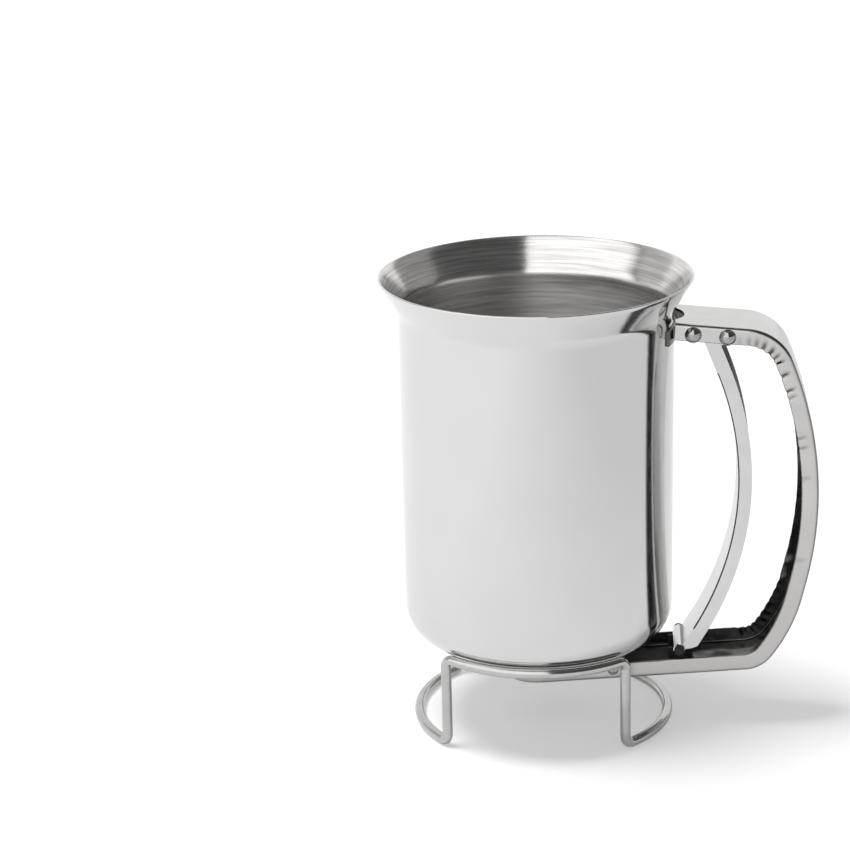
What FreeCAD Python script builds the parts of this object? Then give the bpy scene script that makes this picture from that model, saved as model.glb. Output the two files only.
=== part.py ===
import FreeCAD, Part
import math
import os

Vec = FreeCAD.Vector

# Batter dispenser: a flared cup with a valve under it, a channel handle, a squeeze lever and a wire stand.
# Millimetres. The cup's axis is Z, the floor is z = 0, and the handle lies in the plane y = 0 towards +X.

# Cup
CUP_RADIUS = 50.0
CUP_WALL = 0.8
CUP_BASE_Z = 34.5
BASE_CORNER_RADIUS = 12.0
FLARE_CORNER_Z = 160.0
FLARE_CORNER_RADIUS = 8.0
RIM_RADIUS = 57.0
RIM_Z = 171.8

# Fixed handle: corners of the web's outer face in the XZ plane, and the radius at each inner corner
HANDLE_CORNERS = [(50.3, 157.5), (87.5, 154.5), (109.1, 102.6), (94.6, 39.6), (83.1, 23.7), (0.0, 16.74)]
HANDLE_RADII = [18.7, 141.3, 64.8, 12.6]
HANDLE_WIDTH = 27.2
HANDLE_FLANGE = 6.2
SHEET = 1.0
CORNER_OUTSIDE = 1.3
CORNER_INSIDE = 0.5
END_CENTRE_U = 1.0
NOTCH_RADIUS = 10.3
NOTCH_CENTRE_X = 43.3

# Squeeze lever: corners of the face towards the cup, and its radii
LEVER_CORNERS = [(58.2, 156.0), (79.3, 103.3), (65.6, 52.0), (51.95, 28.0)]
LEVER_RADII = [113.0, 120.0]
LEVER_FLANGE = 5.0
LEVER_HALF_WIDTH_TOP = 12.3
LEVER_HALF_WIDTH_FOOT = 9.4
LEVER_TAPER_TOP_Z = 156.0
LEVER_TAPER_FOOT_Z = 28.0
LEVER_TOP_DEPTH = 1.5
LEVER_TOP_RELIEF = 4.5
LEVER_EAR_RADIUS = 3.0
LEVER_NECK_Z = 149.0
LEVER_TOE_CENTRE = (54.6, 40.2)
LEVER_TOE_RADIUS = 10.3
LEVER_TOE_TOP_Z = 38.0
LEVER_KNUCKLE_RADIUS = 2.3

# Rivets and the drive pin: places in the XZ plane
TOP_RIVET = (56.5, 153.3)
PIVOT = (68.7, 152.35)
ARM_RIVET = (28.0, 22.8)
DRIVE_PIN = (52.75, 29.5)
TOP_RIVET_SHANK = 1.4
TOP_RIVET_HEAD = 3.0
TOP_RIVET_DOME = 2.0
ARM_RIVET_SHANK = 1.3
ARM_RIVET_HEAD = 2.0
ARM_RIVET_DOME = 1.2
PIN_RADIUS = 1.3
PIN_CAP_RADIUS = 1.9
PIN_REACH = 11.4
PIN_CAP_END = 0.6
PIN_CAP_GAP = 0.15
RUNNING_CLEARANCE = 0.05

# Brackets
PAD_HALF_WIDTH = 17.0
PAD_LOW_Z = 149.9
PAD_HIGH_Z = 155.4
BRACKET_SHEET = 0.9
BRACKET_HALF_WIDTH = 12.5
TOP_EAR_RADIUS = 2.3
SADDLE_LOW_X = 21.0
SADDLE_HIGH_X = 35.0
SADDLE_EAR_RADIUS = 2.5

# Valve, measured square to the sloping arm: N is the height above the web's outer face
OUTLET_BORE = 7.0
OUTLET_RADIUS = 8.0
OUTLET_COLLAR = 12.0
OUTLET_COLLAR_THICKNESS = 0.9
OUTLET_END_N = 5.1
WEB_HOLE_RADIUS = 8.0
BAR_LOW_N = 1.15
BAR_SHEET = 0.9
BAR_HALF_WIDTH = 6.8
DISH_RADIUS = 9.0
DISH_WALL = 0.5
DISH_HIGH_N = 3.7
DISC_HIGH_N = 4.8
SEAT_CLEARANCE = 0.05
FORK_PRONG = 1.8
FORK_THICKNESS = 1.6
FORK_SLOT_CLEARANCE = 0.2
FORK_FLOOR_N = 3.0
FORK_HIGH_N = 8.1

# Return spring, wound round the pivot rivet
SPRING_WIRE_RADIUS = 0.35
SPRING_COIL_RADIUS = 1.95
SPRING_TURNS = 10
SPRING_PITCH = 1.2
SPRING_FIXED_LEG = 6.0
SPRING_LEVER_LEG = 8.6
SPRING_LEVER_LEG_ANGLE = 252.5

# Stand: one closed wire of four arcs and four legs
WIRE_RADIUS = 1.9
TOP_ARC_RADIUS = 48.0
TOP_ARC_Z = 36.4
LEG_X = 32.7
FOOT_Y = 33.2
SIDE_REACH_LEFT = 45.9
SIDE_REACH_RIGHT = 48.5
BEND_SETBACK = 3.4

# The arm's slope, from its last two corners
ARM_ANGLE = math.atan2(
    HANDLE_CORNERS[-2][1] - HANDLE_CORNERS[-1][1],
    HANDLE_CORNERS[-2][0] - HANDLE_CORNERS[-1][0],
)


def direction(start, end):
    """Unit step from one (x, z) point to the next."""
    length = math.hypot(end[0] - start[0], end[1] - start[1])
    return ((end[0] - start[0]) / length, (end[1] - start[1]) / length)


def offset_corners(corners, distance):
    """The corners moved sideways, to the right of travel, with mitred joints."""
    steps = [direction(a, b) for a, b in zip(corners, corners[1:])]
    moved = []
    for index, (x, z) in enumerate(corners):
        before = steps[max(index - 1, 0)]
        after = steps[min(index, len(steps) - 1)]
        mitre_x = before[1] + after[1]
        mitre_z = -before[0] - after[0]
        scale = 2.0 * distance / (mitre_x ** 2 + mitre_z ** 2)
        moved.append((x + mitre_x * scale, z + mitre_z * scale))
    return moved


def bend(corner, before, after, setback):
    """An arc that rounds a corner, tangent to both runs, starting and ending at the setback."""
    middle = after - before
    middle.normalize()
    half_gap = 0.5 * (before * -1.0).getAngle(after)
    radius = setback * math.tan(half_gap)
    crown = corner + middle * (radius / math.sin(half_gap) - radius)
    return Part.Arc(corner - before * setback, crown, corner + after * setback).toShape()


def path_edges(corners, radii):
    """Lines and tangent arcs through the corners, in the XZ plane."""
    points = [Vec(x, 0, z) for x, z in corners]
    edges = []
    start = points[0]
    for index, radius in enumerate(radii):
        corner = points[index + 1]
        before = (corner - points[index]).normalize()
        after = (points[index + 2] - corner).normalize()
        setback = radius * math.tan(0.5 * before.getAngle(after))
        edges.append(Part.LineSegment(start, corner - before * setback).toShape())
        edges.append(bend(corner, before, after, setback))
        start = corner + after * setback
    edges.append(Part.LineSegment(start, points[-1]).toShape())
    return edges


def curved_side(corners, radii, distance):
    """The path's edges, moved sideways by a distance; every corner turns to the right."""
    return path_edges(offset_corners(corners, distance), [r - distance for r in radii])


def band(corners, radii, near, far, half_width):
    """A solid between two sideways offsets of a path, as wide as twice the half width."""
    first = Part.Wire(curved_side(corners, radii, near))
    second = Part.Wire(curved_side(corners, radii, far))
    ends = []
    for index in (0, -1):
        a = first.OrderedVertexes[index].Point
        b = second.OrderedVertexes[index].Point
        ends.append(Part.LineSegment(a, b).toShape())
    outline = Part.Wire(Part.__sortEdges__(first.Edges + second.Edges + ends))
    face = Part.Face(outline)
    face.translate(Vec(0, -half_width, 0))
    return face.extrude(Vec(0, 2 * half_width, 0))


def plate_y(points, low_y, high_y):
    """A flat plate of an (x, z) outline between two y planes."""
    ring = [Vec(x, low_y, z) for x, z in points + points[:1]]
    return Part.Face(Part.makePolygon(ring)).extrude(Vec(0, high_y - low_y, 0))


def rod_y(place, radius, low_y, high_y):
    """A round rod along Y at an (x, z) place."""
    return Part.makeCylinder(radius, high_y - low_y, Vec(place[0], low_y, place[1]), Vec(0, 1, 0))


def box(low, high):
    """A box between two corners."""
    return Part.makeBox(high[0] - low[0], high[1] - low[1], high[2] - low[2], Vec(*low))


def mirrored(shape):
    """The shape's twin on the other side of the plane y = 0."""
    return shape.mirror(Vec(0, 0, 0), Vec(0, 1, 0))


def on_arm(shape):
    """A shape drawn with x along the arm and z square to it, set on the sloping arm."""
    placed = shape.copy()
    placed.rotate(Vec(0, 0, 0), Vec(0, 1, 0), -math.degrees(ARM_ANGLE))
    placed.translate(Vec(HANDLE_CORNERS[-1][0], 0, HANDLE_CORNERS[-1][1]))
    return placed


def arm_u(place):
    """How far along the arm an (x, z) place lies."""
    x = place[0] - HANDLE_CORNERS[-1][0]
    z = place[1] - HANDLE_CORNERS[-1][1]
    return x * math.cos(ARM_ANGLE) + z * math.sin(ARM_ANGLE)


def cup_outline(growth):
    """Edges of the cup's outer side from the axis to the rim, grown outwards by a distance."""
    low = CUP_BASE_Z - growth
    flat = CUP_RADIUS - BASE_CORNER_RADIUS
    wall = CUP_RADIUS + growth
    lean = math.atan2(RIM_RADIUS - CUP_RADIUS, RIM_Z - FLARE_CORNER_Z)
    flare_z = FLARE_CORNER_Z - growth * math.tan(lean / 2)
    rise = Vec(0, 0, 1)
    flare = Vec(math.sin(lean), 0, math.cos(lean))
    rim = Vec(RIM_RADIUS + growth * math.cos(lean), 0, RIM_Z - growth * math.sin(lean))
    base_corner = Vec(wall, 0, low)
    base_setback = BASE_CORNER_RADIUS + growth
    flare_corner = Vec(wall, 0, flare_z)
    flare_setback = (FLARE_CORNER_RADIUS - growth) * math.tan(lean / 2)
    return [
        Part.LineSegment(Vec(0, 0, low), Vec(flat, 0, low)).toShape(),
        bend(base_corner, Vec(1, 0, 0), rise, base_setback),
        Part.LineSegment(base_corner + rise * base_setback, flare_corner - rise * flare_setback).toShape(),
        bend(flare_corner, rise, flare, flare_setback),
        Part.LineSegment(flare_corner + flare * flare_setback, rim).toShape(),
    ]


def turned(edges):
    """A solid turned about the Z axis from a closed loop of edges."""
    loop = Part.Wire(Part.__sortEdges__(edges))
    return Part.Face(loop).revolve(Vec(0, 0, 0), Vec(0, 0, 1), 360)


def cup_envelope(growth):
    """Everything inside the cup's outer side, grown by a distance."""
    edges = cup_outline(growth)
    rim = edges[-1].valueAt(edges[-1].LastParameter)
    foot = edges[0].valueAt(edges[0].FirstParameter)
    top = Vec(0, 0, rim.z)
    edges.append(Part.LineSegment(rim, top).toShape())
    edges.append(Part.LineSegment(top, foot).toShape())
    return turned(edges)


def make_cup():
    """The drawn cup, one sheet with a rounded lip and the outlet hole in its base."""
    outside = cup_outline(0.0)
    inside = cup_outline(-CUP_WALL)
    outer_rim = outside[-1].valueAt(outside[-1].LastParameter)
    inner_rim = inside[-1].valueAt(inside[-1].LastParameter)
    along = outside[-1].tangentAt(outside[-1].LastParameter)
    lip = Part.Arc(outer_rim, (outer_rim + inner_rim) * 0.5 + along * (CUP_WALL / 2), inner_rim).toShape()
    axis = Part.LineSegment(Vec(0, 0, CUP_BASE_Z), Vec(0, 0, CUP_BASE_Z + CUP_WALL)).toShape()
    shell = turned(outside + inside + [lip, axis])
    hole = Part.makeCylinder(OUTLET_RADIUS, 2 * CUP_WALL, Vec(0, 0, CUP_BASE_Z - CUP_WALL / 2))
    return shell.cut(hole)


def make_outlet():
    """The outlet tube with its collar under the cup, cut off on the slope of the arm."""
    top = CUP_BASE_Z + CUP_WALL
    tube = Part.makeCylinder(OUTLET_RADIUS, top - HANDLE_CORNERS[-1][1], Vec(0, 0, HANDLE_CORNERS[-1][1]))
    collar_z = CUP_BASE_Z - OUTLET_COLLAR_THICKNESS
    collar = Part.makeCylinder(OUTLET_COLLAR, OUTLET_COLLAR_THICKNESS, Vec(0, 0, collar_z))
    bore = Part.makeCylinder(OUTLET_BORE, top, Vec(0, 0, HANDLE_CORNERS[-1][1] - CUP_WALL))
    reach = 2 * OUTLET_COLLAR
    below = on_arm(box((-reach, -reach, -reach), (reach, reach, OUTLET_END_N)))
    return tube.fuse(collar).removeSplitter().cut(bore).cut(below)


def section_wire(points, start, inward):
    """A closed wire of (sideways, depth, corner radius) points, square to a path at its start."""
    places = [start + Vec(0, y, 0) + inward * depth for y, depth, radius in points]
    radii = [radius for y, depth, radius in points]
    edges = []
    for index, corner in enumerate(places):
        following = (index + 1) % len(places)
        before = (corner - places[index - 1]).normalize()
        after = (places[following] - corner).normalize()
        if radii[index] > 0:
            edges.append(bend(corner, before, after, radii[index]))
        begin = corner + after * radii[index]
        edges.append(Part.LineSegment(begin, places[following] - after * radii[following]).toShape())
    return Part.Wire(edges)


def half_channel_points():
    """Half of the handle's U section, from its middle out to the flange and back."""
    half = HANDLE_WIDTH / 2
    inner = half - SHEET
    return [
        (0.0, 0.0, 0.0),
        (half, 0.0, CORNER_OUTSIDE),
        (half, HANDLE_FLANGE, 0.0),
        (inner, HANDLE_FLANGE, 0.0),
        (inner, SHEET, CORNER_INSIDE),
        (0.0, SHEET, 0.0),
    ]


def make_handle():
    """The fixed handle: a channel from the cup's rim round to the valve, with a round pan end."""
    path = Part.Wire(path_edges(HANDLE_CORNERS, HANDLE_RADII))
    step = direction(HANDLE_CORNERS[0], HANDLE_CORNERS[1])
    start = Vec(HANDLE_CORNERS[0][0], 0, HANDLE_CORNERS[0][1])
    right = half_channel_points()
    left = [(-y, depth, radius) for y, depth, radius in reversed(right[1:-1])]
    section = section_wire(right[1:-1] + left, start, Vec(step[1], 0, -step[0]))
    channel = path.makePipeShell([section], True, False)
    centre = Vec(END_CENTRE_U, 0, 0)
    pan_section = Part.Face(section_wire(right, centre, Vec(0, 0, 1)))
    pan = pan_section.revolve(centre, Vec(0, 0, 1), 180)
    reach = 2 * HANDLE_WIDTH
    arm_end = box((-reach, -reach, -HANDLE_WIDTH), (END_CENTRE_U, reach, HANDLE_WIDTH))
    handle = channel.cut(on_arm(arm_end)).fuse(on_arm(pan))
    notch_foot = Vec(NOTCH_CENTRE_X, 0, HANDLE_CORNERS[0][1] - 2 * SHEET)
    notch = Part.makeCylinder(NOTCH_RADIUS, 3 * SHEET, notch_foot)
    hole = on_arm(Part.makeCylinder(WEB_HOLE_RADIUS, 3 * SHEET, Vec(0, 0, -SHEET)))
    handle = handle.cut(cup_envelope(BRACKET_SHEET + SEAT_CLEARANCE)).cut(notch).cut(hole)
    shanks = ((TOP_RIVET, TOP_RIVET_SHANK), (PIVOT, TOP_RIVET_SHANK), (ARM_RIVET, ARM_RIVET_SHANK))
    for place, radius in shanks:
        handle = handle.cut(rod_y(place, radius + RUNNING_CLEARANCE, -HANDLE_WIDTH, HANDLE_WIDTH))
    return handle


def make_rivet(place, shank, head, dome):
    """A rivet along Y, with a domed head outside each flange."""
    half = HANDLE_WIDTH / 2
    ball = (head ** 2 + dome ** 2) / (2 * dome)
    rivet = rod_y(place, shank, -half, half)
    for side in (-1, 1):
        face_y = side * half
        sphere = Part.makeSphere(ball, Vec(place[0], face_y + side * (dome - ball), place[1]))
        low_y, high_y = sorted((face_y, face_y + side * 2 * ball))
        keep = box((place[0] - head, low_y, place[1] - head), (place[0] + head, high_y, place[1] + head))
        rivet = rivet.fuse(sphere.common(keep))
    return rivet


def make_top_bracket():
    """The pad welded to the cup under the rim, with an ear inside each flange of the handle."""
    pad = cup_envelope(BRACKET_SHEET).cut(cup_envelope(0.0))
    pad = pad.common(box((0, -PAD_HALF_WIDTH, PAD_LOW_Z), (2 * CUP_RADIUS, PAD_HALF_WIDTH, PAD_HIGH_Z)))
    step = direction(HANDLE_CORNERS[0], HANDLE_CORNERS[1])
    radius = TOP_EAR_RADIUS
    low_y = BRACKET_HALF_WIDTH - BRACKET_SHEET
    start_x = CUP_RADIUS - 3 * BRACKET_SHEET
    run = TOP_RIVET[0] - start_x
    upper = (TOP_RIVET[0] - step[1] * radius, TOP_RIVET[1] + step[0] * radius)
    lower = (TOP_RIVET[0] + step[1] * radius, TOP_RIVET[1] - step[0] * radius)
    outline = [
        upper,
        (upper[0] - step[0] * run, upper[1] - step[1] * run),
        (lower[0] - step[0] * run, lower[1] - step[1] * run),
        lower,
    ]
    ear = plate_y(outline, low_y, BRACKET_HALF_WIDTH)
    ear = ear.fuse(rod_y(TOP_RIVET, radius, low_y, BRACKET_HALF_WIDTH))
    ear = ear.cut(cup_envelope(BRACKET_SHEET))
    hole = rod_y(TOP_RIVET, TOP_RIVET_SHANK + RUNNING_CLEARANCE, -HANDLE_WIDTH, HANDLE_WIDTH)
    return pad.fuse(ear).fuse(mirrored(ear)).removeSplitter().cut(hole)


def make_saddle_bracket():
    """The saddle welded under the cup, with an ear inside each flange of the arm."""
    high_z = CUP_BASE_Z
    low_z = CUP_BASE_Z - BRACKET_SHEET
    top = box((SADDLE_LOW_X, -BRACKET_HALF_WIDTH, low_z), (SADDLE_HIGH_X, BRACKET_HALF_WIDTH, high_z))
    low_y = BRACKET_HALF_WIDTH - BRACKET_SHEET
    outline = [
        (SADDLE_LOW_X, high_z),
        (ARM_RIVET[0] - SADDLE_EAR_RADIUS, ARM_RIVET[1]),
        (ARM_RIVET[0] + SADDLE_EAR_RADIUS, ARM_RIVET[1]),
        (SADDLE_HIGH_X, high_z),
    ]
    ear = plate_y(outline, low_y, BRACKET_HALF_WIDTH)
    ear = ear.fuse(rod_y(ARM_RIVET, SADDLE_EAR_RADIUS, low_y, BRACKET_HALF_WIDTH))
    hole = rod_y(ARM_RIVET, ARM_RIVET_SHANK + RUNNING_CLEARANCE, -HANDLE_WIDTH, HANDLE_WIDTH)
    return top.fuse(ear).fuse(mirrored(ear)).removeSplitter().cut(hole)


def lever_wedge(inset):
    """The lever's tapering width, as a solid with two leaning sides, made narrower by an inset."""
    top = LEVER_HALF_WIDTH_TOP - inset
    foot = LEVER_HALF_WIDTH_FOOT - inset
    corners = [(-top, LEVER_TAPER_TOP_Z), (top, LEVER_TAPER_TOP_Z), (foot, 0.0), (-foot, 0.0)]
    slope = (LEVER_HALF_WIDTH_TOP - LEVER_HALF_WIDTH_FOOT) / (LEVER_TAPER_TOP_Z - LEVER_TAPER_FOOT_Z)
    drop = slope * LEVER_TAPER_FOOT_Z
    corners[2] = (foot - drop, 0.0)
    corners[3] = (drop - foot, 0.0)
    ring = [Vec(0, y, z) for y, z in corners + corners[:1]]
    return Part.Face(Part.makePolygon(ring)).extrude(Vec(2 * CUP_RADIUS, 0, 0))


def make_lever():
    """The squeeze lever: a tapering channel with a pivot ear at its top and a knuckle rolled round the pin."""
    wide = HANDLE_WIDTH
    side = band(LEVER_CORNERS, LEVER_RADII, -LEVER_FLANGE, 0.0, wide)
    toe_low = (PIVOT[0] - HANDLE_WIDTH, -wide, 0)
    toe = box(toe_low, (PIVOT[0], wide, LEVER_TOE_TOP_Z))
    toe = toe.cut(rod_y(LEVER_TOE_CENTRE, LEVER_TOE_RADIUS, -wide, wide))
    edge_x = PIVOT[0] - LEVER_EAR_RADIUS
    neck = plate_y(
        [
            (LEVER_CORNERS[0][0] + SHEET, PIVOT[1] + LEVER_EAR_RADIUS),
            (PIVOT[0], PIVOT[1] + LEVER_EAR_RADIUS),
            (PIVOT[0], PIVOT[1] - LEVER_EAR_RADIUS),
            (edge_x, LEVER_NECK_Z),
            (edge_x - LEVER_FLANGE + SHEET, LEVER_NECK_Z),
        ],
        -wide,
        wide,
    )
    ear = rod_y(PIVOT, LEVER_EAR_RADIUS, -wide, wide)
    knuckle = rod_y(DRIVE_PIN, LEVER_KNUCKLE_RADIUS, -wide, wide).common(lever_wedge(0.0))
    side = side.cut(toe).fuse(neck).fuse(ear)
    lever = side.common(lever_wedge(0.0))
    inside = band(LEVER_CORNERS, LEVER_RADII, -3 * LEVER_FLANGE, -SHEET, wide).common(lever_wedge(SHEET))
    lever = lever.cut(inside).fuse(knuckle)
    lever = lever.cut(band(HANDLE_CORNERS, HANDLE_RADII, -wide, LEVER_TOP_DEPTH, wide))
    lever = lever.cut(rod_y(TOP_RIVET, LEVER_TOP_RELIEF, -wide, wide))
    lever = lever.cut(rod_y(PIVOT, TOP_RIVET_SHANK + RUNNING_CLEARANCE, -wide, wide))
    return lever.cut(rod_y(DRIVE_PIN, PIN_RADIUS, -wide, wide)).removeSplitter()


def make_drive_pin():
    """The steel cross pin in the lever's foot."""
    return rod_y(DRIVE_PIN, PIN_RADIUS, -PIN_REACH, PIN_REACH)


def make_pin_cap(side):
    """A black cap on one end of the cross pin, outside the lever."""
    near_y = side * (LEVER_HALF_WIDTH_FOOT + PIN_CAP_GAP)
    end_y = side * (PIN_REACH + PIN_CAP_END)
    cap = rod_y(DRIVE_PIN, PIN_CAP_RADIUS, *sorted((near_y, end_y)))
    return cap.cut(make_drive_pin())


def make_slide_bar():
    """The sliding bar in the arm, with a round end under the outlet and a fork for the lever's knuckle."""
    pin_u = arm_u(DRIVE_PIN)
    slot = LEVER_KNUCKLE_RADIUS + FORK_SLOT_CLEARANCE
    fork_low = pin_u - slot - FORK_PRONG
    fork_high = pin_u + slot + FORK_PRONG
    flat = box((0, -BAR_HALF_WIDTH, BAR_LOW_N), (fork_high, BAR_HALF_WIDTH, BAR_LOW_N + BAR_SHEET))
    nose = Part.makeCylinder(BAR_HALF_WIDTH, BAR_SHEET, Vec(0, 0, BAR_LOW_N))
    low_y = BAR_HALF_WIDTH - FORK_THICKNESS
    ear = box((fork_low, low_y, BAR_LOW_N), (fork_high, BAR_HALF_WIDTH, FORK_HIGH_N))
    gap = box((pin_u - slot, low_y, FORK_FLOOR_N), (pin_u + slot, BAR_HALF_WIDTH, FORK_HIGH_N))
    ear = ear.cut(gap)
    return on_arm(flat.fuse(nose).fuse(ear).fuse(mirrored(ear)).removeSplitter())


def make_seal_dish():
    """The shallow dish on the bar that holds the sealing disc."""
    floor_n = BAR_LOW_N + BAR_SHEET
    dish = Part.makeCylinder(DISH_RADIUS, DISH_HIGH_N - floor_n, Vec(0, 0, floor_n))
    hollow = Part.makeCylinder(DISH_RADIUS - DISH_WALL, DISH_HIGH_N, Vec(0, 0, floor_n + DISH_WALL))
    return on_arm(dish.cut(hollow))


def make_seal_disc():
    """The soft disc that closes the outlet."""
    floor_n = BAR_LOW_N + BAR_SHEET + DISH_WALL
    radius = DISH_RADIUS - DISH_WALL - SEAT_CLEARANCE
    disc = Part.makeCylinder(radius, DISC_HIGH_N - floor_n, Vec(0, 0, floor_n))
    return on_arm(disc)


def tangent_arc(start, tangent, end):
    """An arc that leaves the start along a tangent and reaches the end."""
    chord = end - start
    length = chord.Length
    chord.normalize()
    angle = tangent.getAngle(chord)
    bulge = tangent - chord * tangent.dot(chord)
    bulge.normalize()
    return Part.Arc(start, (start + end) * 0.5 + bulge * (0.5 * length * math.tan(angle / 2)), end).toShape()


def biarc(start, start_tangent, end, end_tangent):
    """Two arcs between two points, tangent at both ends and to each other."""
    chord = end - start
    total = start_tangent + end_tangent
    lean = 2.0 * (1.0 - start_tangent.dot(end_tangent))
    across = chord.dot(total)
    reach = (math.sqrt(across ** 2 + lean * chord.dot(chord)) - across) / lean
    joint = (start + end + (start_tangent - end_tangent) * reach) * 0.5
    first = tangent_arc(start, start_tangent, joint)
    second = tangent_arc(end, end_tangent * -1.0, joint)
    return [first, second]


def spring_angle(turn):
    """The angle round the pivot, after some turns from the leg that lies along the handle."""
    step = direction(HANDLE_CORNERS[0], HANDLE_CORNERS[1])
    return math.atan2(step[0], -step[1]) + 2 * math.pi * turn


def spring_point(turn):
    """A point on the spring's coil."""
    angle = spring_angle(turn)
    y = (SPRING_TURNS / 2 - turn) * SPRING_PITCH
    reach = SPRING_COIL_RADIUS
    return Vec(PIVOT[0] + reach * math.cos(angle), y, PIVOT[1] + reach * math.sin(angle))


def spring_tangent(turn):
    """The coil's direction of travel at a point."""
    angle = spring_angle(turn)
    speed = 2 * math.pi * SPRING_COIL_RADIUS
    return Vec(-speed * math.sin(angle), -SPRING_PITCH, speed * math.cos(angle)).normalize()


def least_gap(turns):
    """The least gap between the coil's wire and itself, half a turn apart or more, on points along it."""
    count = 40
    points = [spring_point(turns * k / (count * SPRING_TURNS)) for k in range(count * SPRING_TURNS + 1)]
    pairs = [(a, b) for i, a in enumerate(points) for b in points[i + count // 2:]]
    return min(a.distanceToPoint(b) for a, b in pairs) - 2 * SPRING_WIRE_RADIUS


def make_spring():
    """The return spring: a coil round the pivot, one leg on the handle and one on the lever."""
    leg_angle = math.radians(SPRING_LEVER_LEG_ANGLE) - math.pi / 2
    last_turn = SPRING_TURNS + (leg_angle - spring_angle(0.0)) / (2 * math.pi)
    turns = [0.25 * k for k in range(4 * SPRING_TURNS + 1)] + [last_turn]
    start = spring_point(0.0)
    first = spring_tangent(0.0)
    tip = start - first * SPRING_FIXED_LEG
    edges = [Part.LineSegment(tip, start).toShape()]
    for a, b in zip(turns, turns[1:]):
        edges += biarc(spring_point(a), spring_tangent(a), spring_point(b), spring_tangent(b))
    end = spring_point(last_turn)
    edges.append(Part.LineSegment(end, end + spring_tangent(last_turn) * SPRING_LEVER_LEG).toShape())
    path = Part.Wire(Part.__sortEdges__(edges))
    circle = Part.Circle(tip, first, SPRING_WIRE_RADIUS).toShape()
    print("spring: least gap to itself", round(least_gap(last_turn), 2), "mm")
    return path.makePipeShell([Part.Wire(circle)], True, False)


def make_stand():
    """The stand: arcs under the cup at front and back, arcs on the floor at both sides, and four legs."""
    top_angle = math.asin(LEG_X / TOP_ARC_RADIUS) - BEND_SETBACK / TOP_ARC_RADIUS
    arcs = [(0.0, TOP_ARC_RADIUS, TOP_ARC_Z, -0.5 * math.pi, top_angle)]
    for side, reach in ((1, SIDE_REACH_RIGHT), (-1, SIDE_REACH_LEFT)):
        depth = reach - LEG_X
        radius = (FOOT_Y ** 2 + depth ** 2) / (2 * depth)
        spread = math.asin(FOOT_Y / radius) - BEND_SETBACK / radius
        arcs.append((side * (reach - radius), radius, WIRE_RADIUS, 0.5 * math.pi * (1 - side), spread))
        if side > 0:
            arcs.append((0.0, TOP_ARC_RADIUS, TOP_ARC_Z, 0.5 * math.pi, top_angle))

    def on_arc(arc, share):
        centre_x, radius, z, middle, spread = arc
        angle = middle + share * spread
        return Vec(centre_x + radius * math.cos(angle), radius * math.sin(angle), z)

    def heading(arc, share):
        angle = arc[3] + share * arc[4]
        return Vec(-math.sin(angle), math.cos(angle), 0)

    edges = []
    for arc, following in zip(arcs, arcs[1:] + arcs[:1]):
        edges.append(Part.Arc(on_arc(arc, -1), on_arc(arc, 0), on_arc(arc, 1)).toShape())
        leave = on_arc(arc, 1) + heading(arc, 1) * BEND_SETBACK
        arrive = on_arc(following, -1) - heading(following, -1) * BEND_SETBACK
        leg = (arrive - leave).normalize()
        edges.append(bend(leave, heading(arc, 1), leg, BEND_SETBACK))
        edges.append(Part.LineSegment(leave + leg * BEND_SETBACK, arrive - leg * BEND_SETBACK).toShape())
        edges.append(bend(arrive, leg, heading(following, -1), BEND_SETBACK))
    path = Part.Wire(edges)
    circle = Part.Circle(on_arc(arcs[0], -1), heading(arcs[0], -1), WIRE_RADIUS).toShape()
    return path.makePipeShell([Part.Wire(circle)], True, False)


def save(name, shape):
    """Write one piece to its own file and say what it measures."""
    solids = shape.Solids
    bounds = shape.optimalBoundingBox(False)
    print(
        f"{name:16s} solids {len(solids)} valid {shape.isValid()} volume {shape.Volume:10.1f}"
        f"  x {bounds.XMin:7.2f} {bounds.XMax:7.2f}  y {bounds.YMin:7.2f} {bounds.YMax:7.2f}"
        f"  z {bounds.ZMin:7.2f} {bounds.ZMax:7.2f}"
    )
    shape.exportStep(f"parts/{name}.step")


os.makedirs("parts", exist_ok=True)
save("stand_wire", make_stand())
save("cup_body", make_cup())
save("outlet_tube", make_outlet())
save("top_bracket", make_top_bracket())
save("saddle_bracket", make_saddle_bracket())
save("outer_handle", make_handle())
save("top_rivet", make_rivet(TOP_RIVET, TOP_RIVET_SHANK, TOP_RIVET_HEAD, TOP_RIVET_DOME))
save("pivot_rivet", make_rivet(PIVOT, TOP_RIVET_SHANK, TOP_RIVET_HEAD, TOP_RIVET_DOME))
save("arm_rivet", make_rivet(ARM_RIVET, ARM_RIVET_SHANK, ARM_RIVET_HEAD, ARM_RIVET_DOME))
save("squeeze_lever", make_lever())
save("drive_pin", make_drive_pin())
save("pin_cap_front", make_pin_cap(-1))
save("pin_cap_back", make_pin_cap(1))
save("slide_bar", make_slide_bar())
save("seal_dish", make_seal_dish())
save("seal_disc", make_seal_disc())
save("return_spring", make_spring())
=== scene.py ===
"""Looks of the batter dispenser: cup, channel handle, squeeze lever, valve and wire stand."""

import logging
import math
import random
from collections.abc import Callable, Iterable, Sequence
from dataclasses import dataclass, field
from enum import Enum
from typing import Any

import bmesh
import bpy
from mathutils import Matrix, Vector, kdtree


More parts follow.
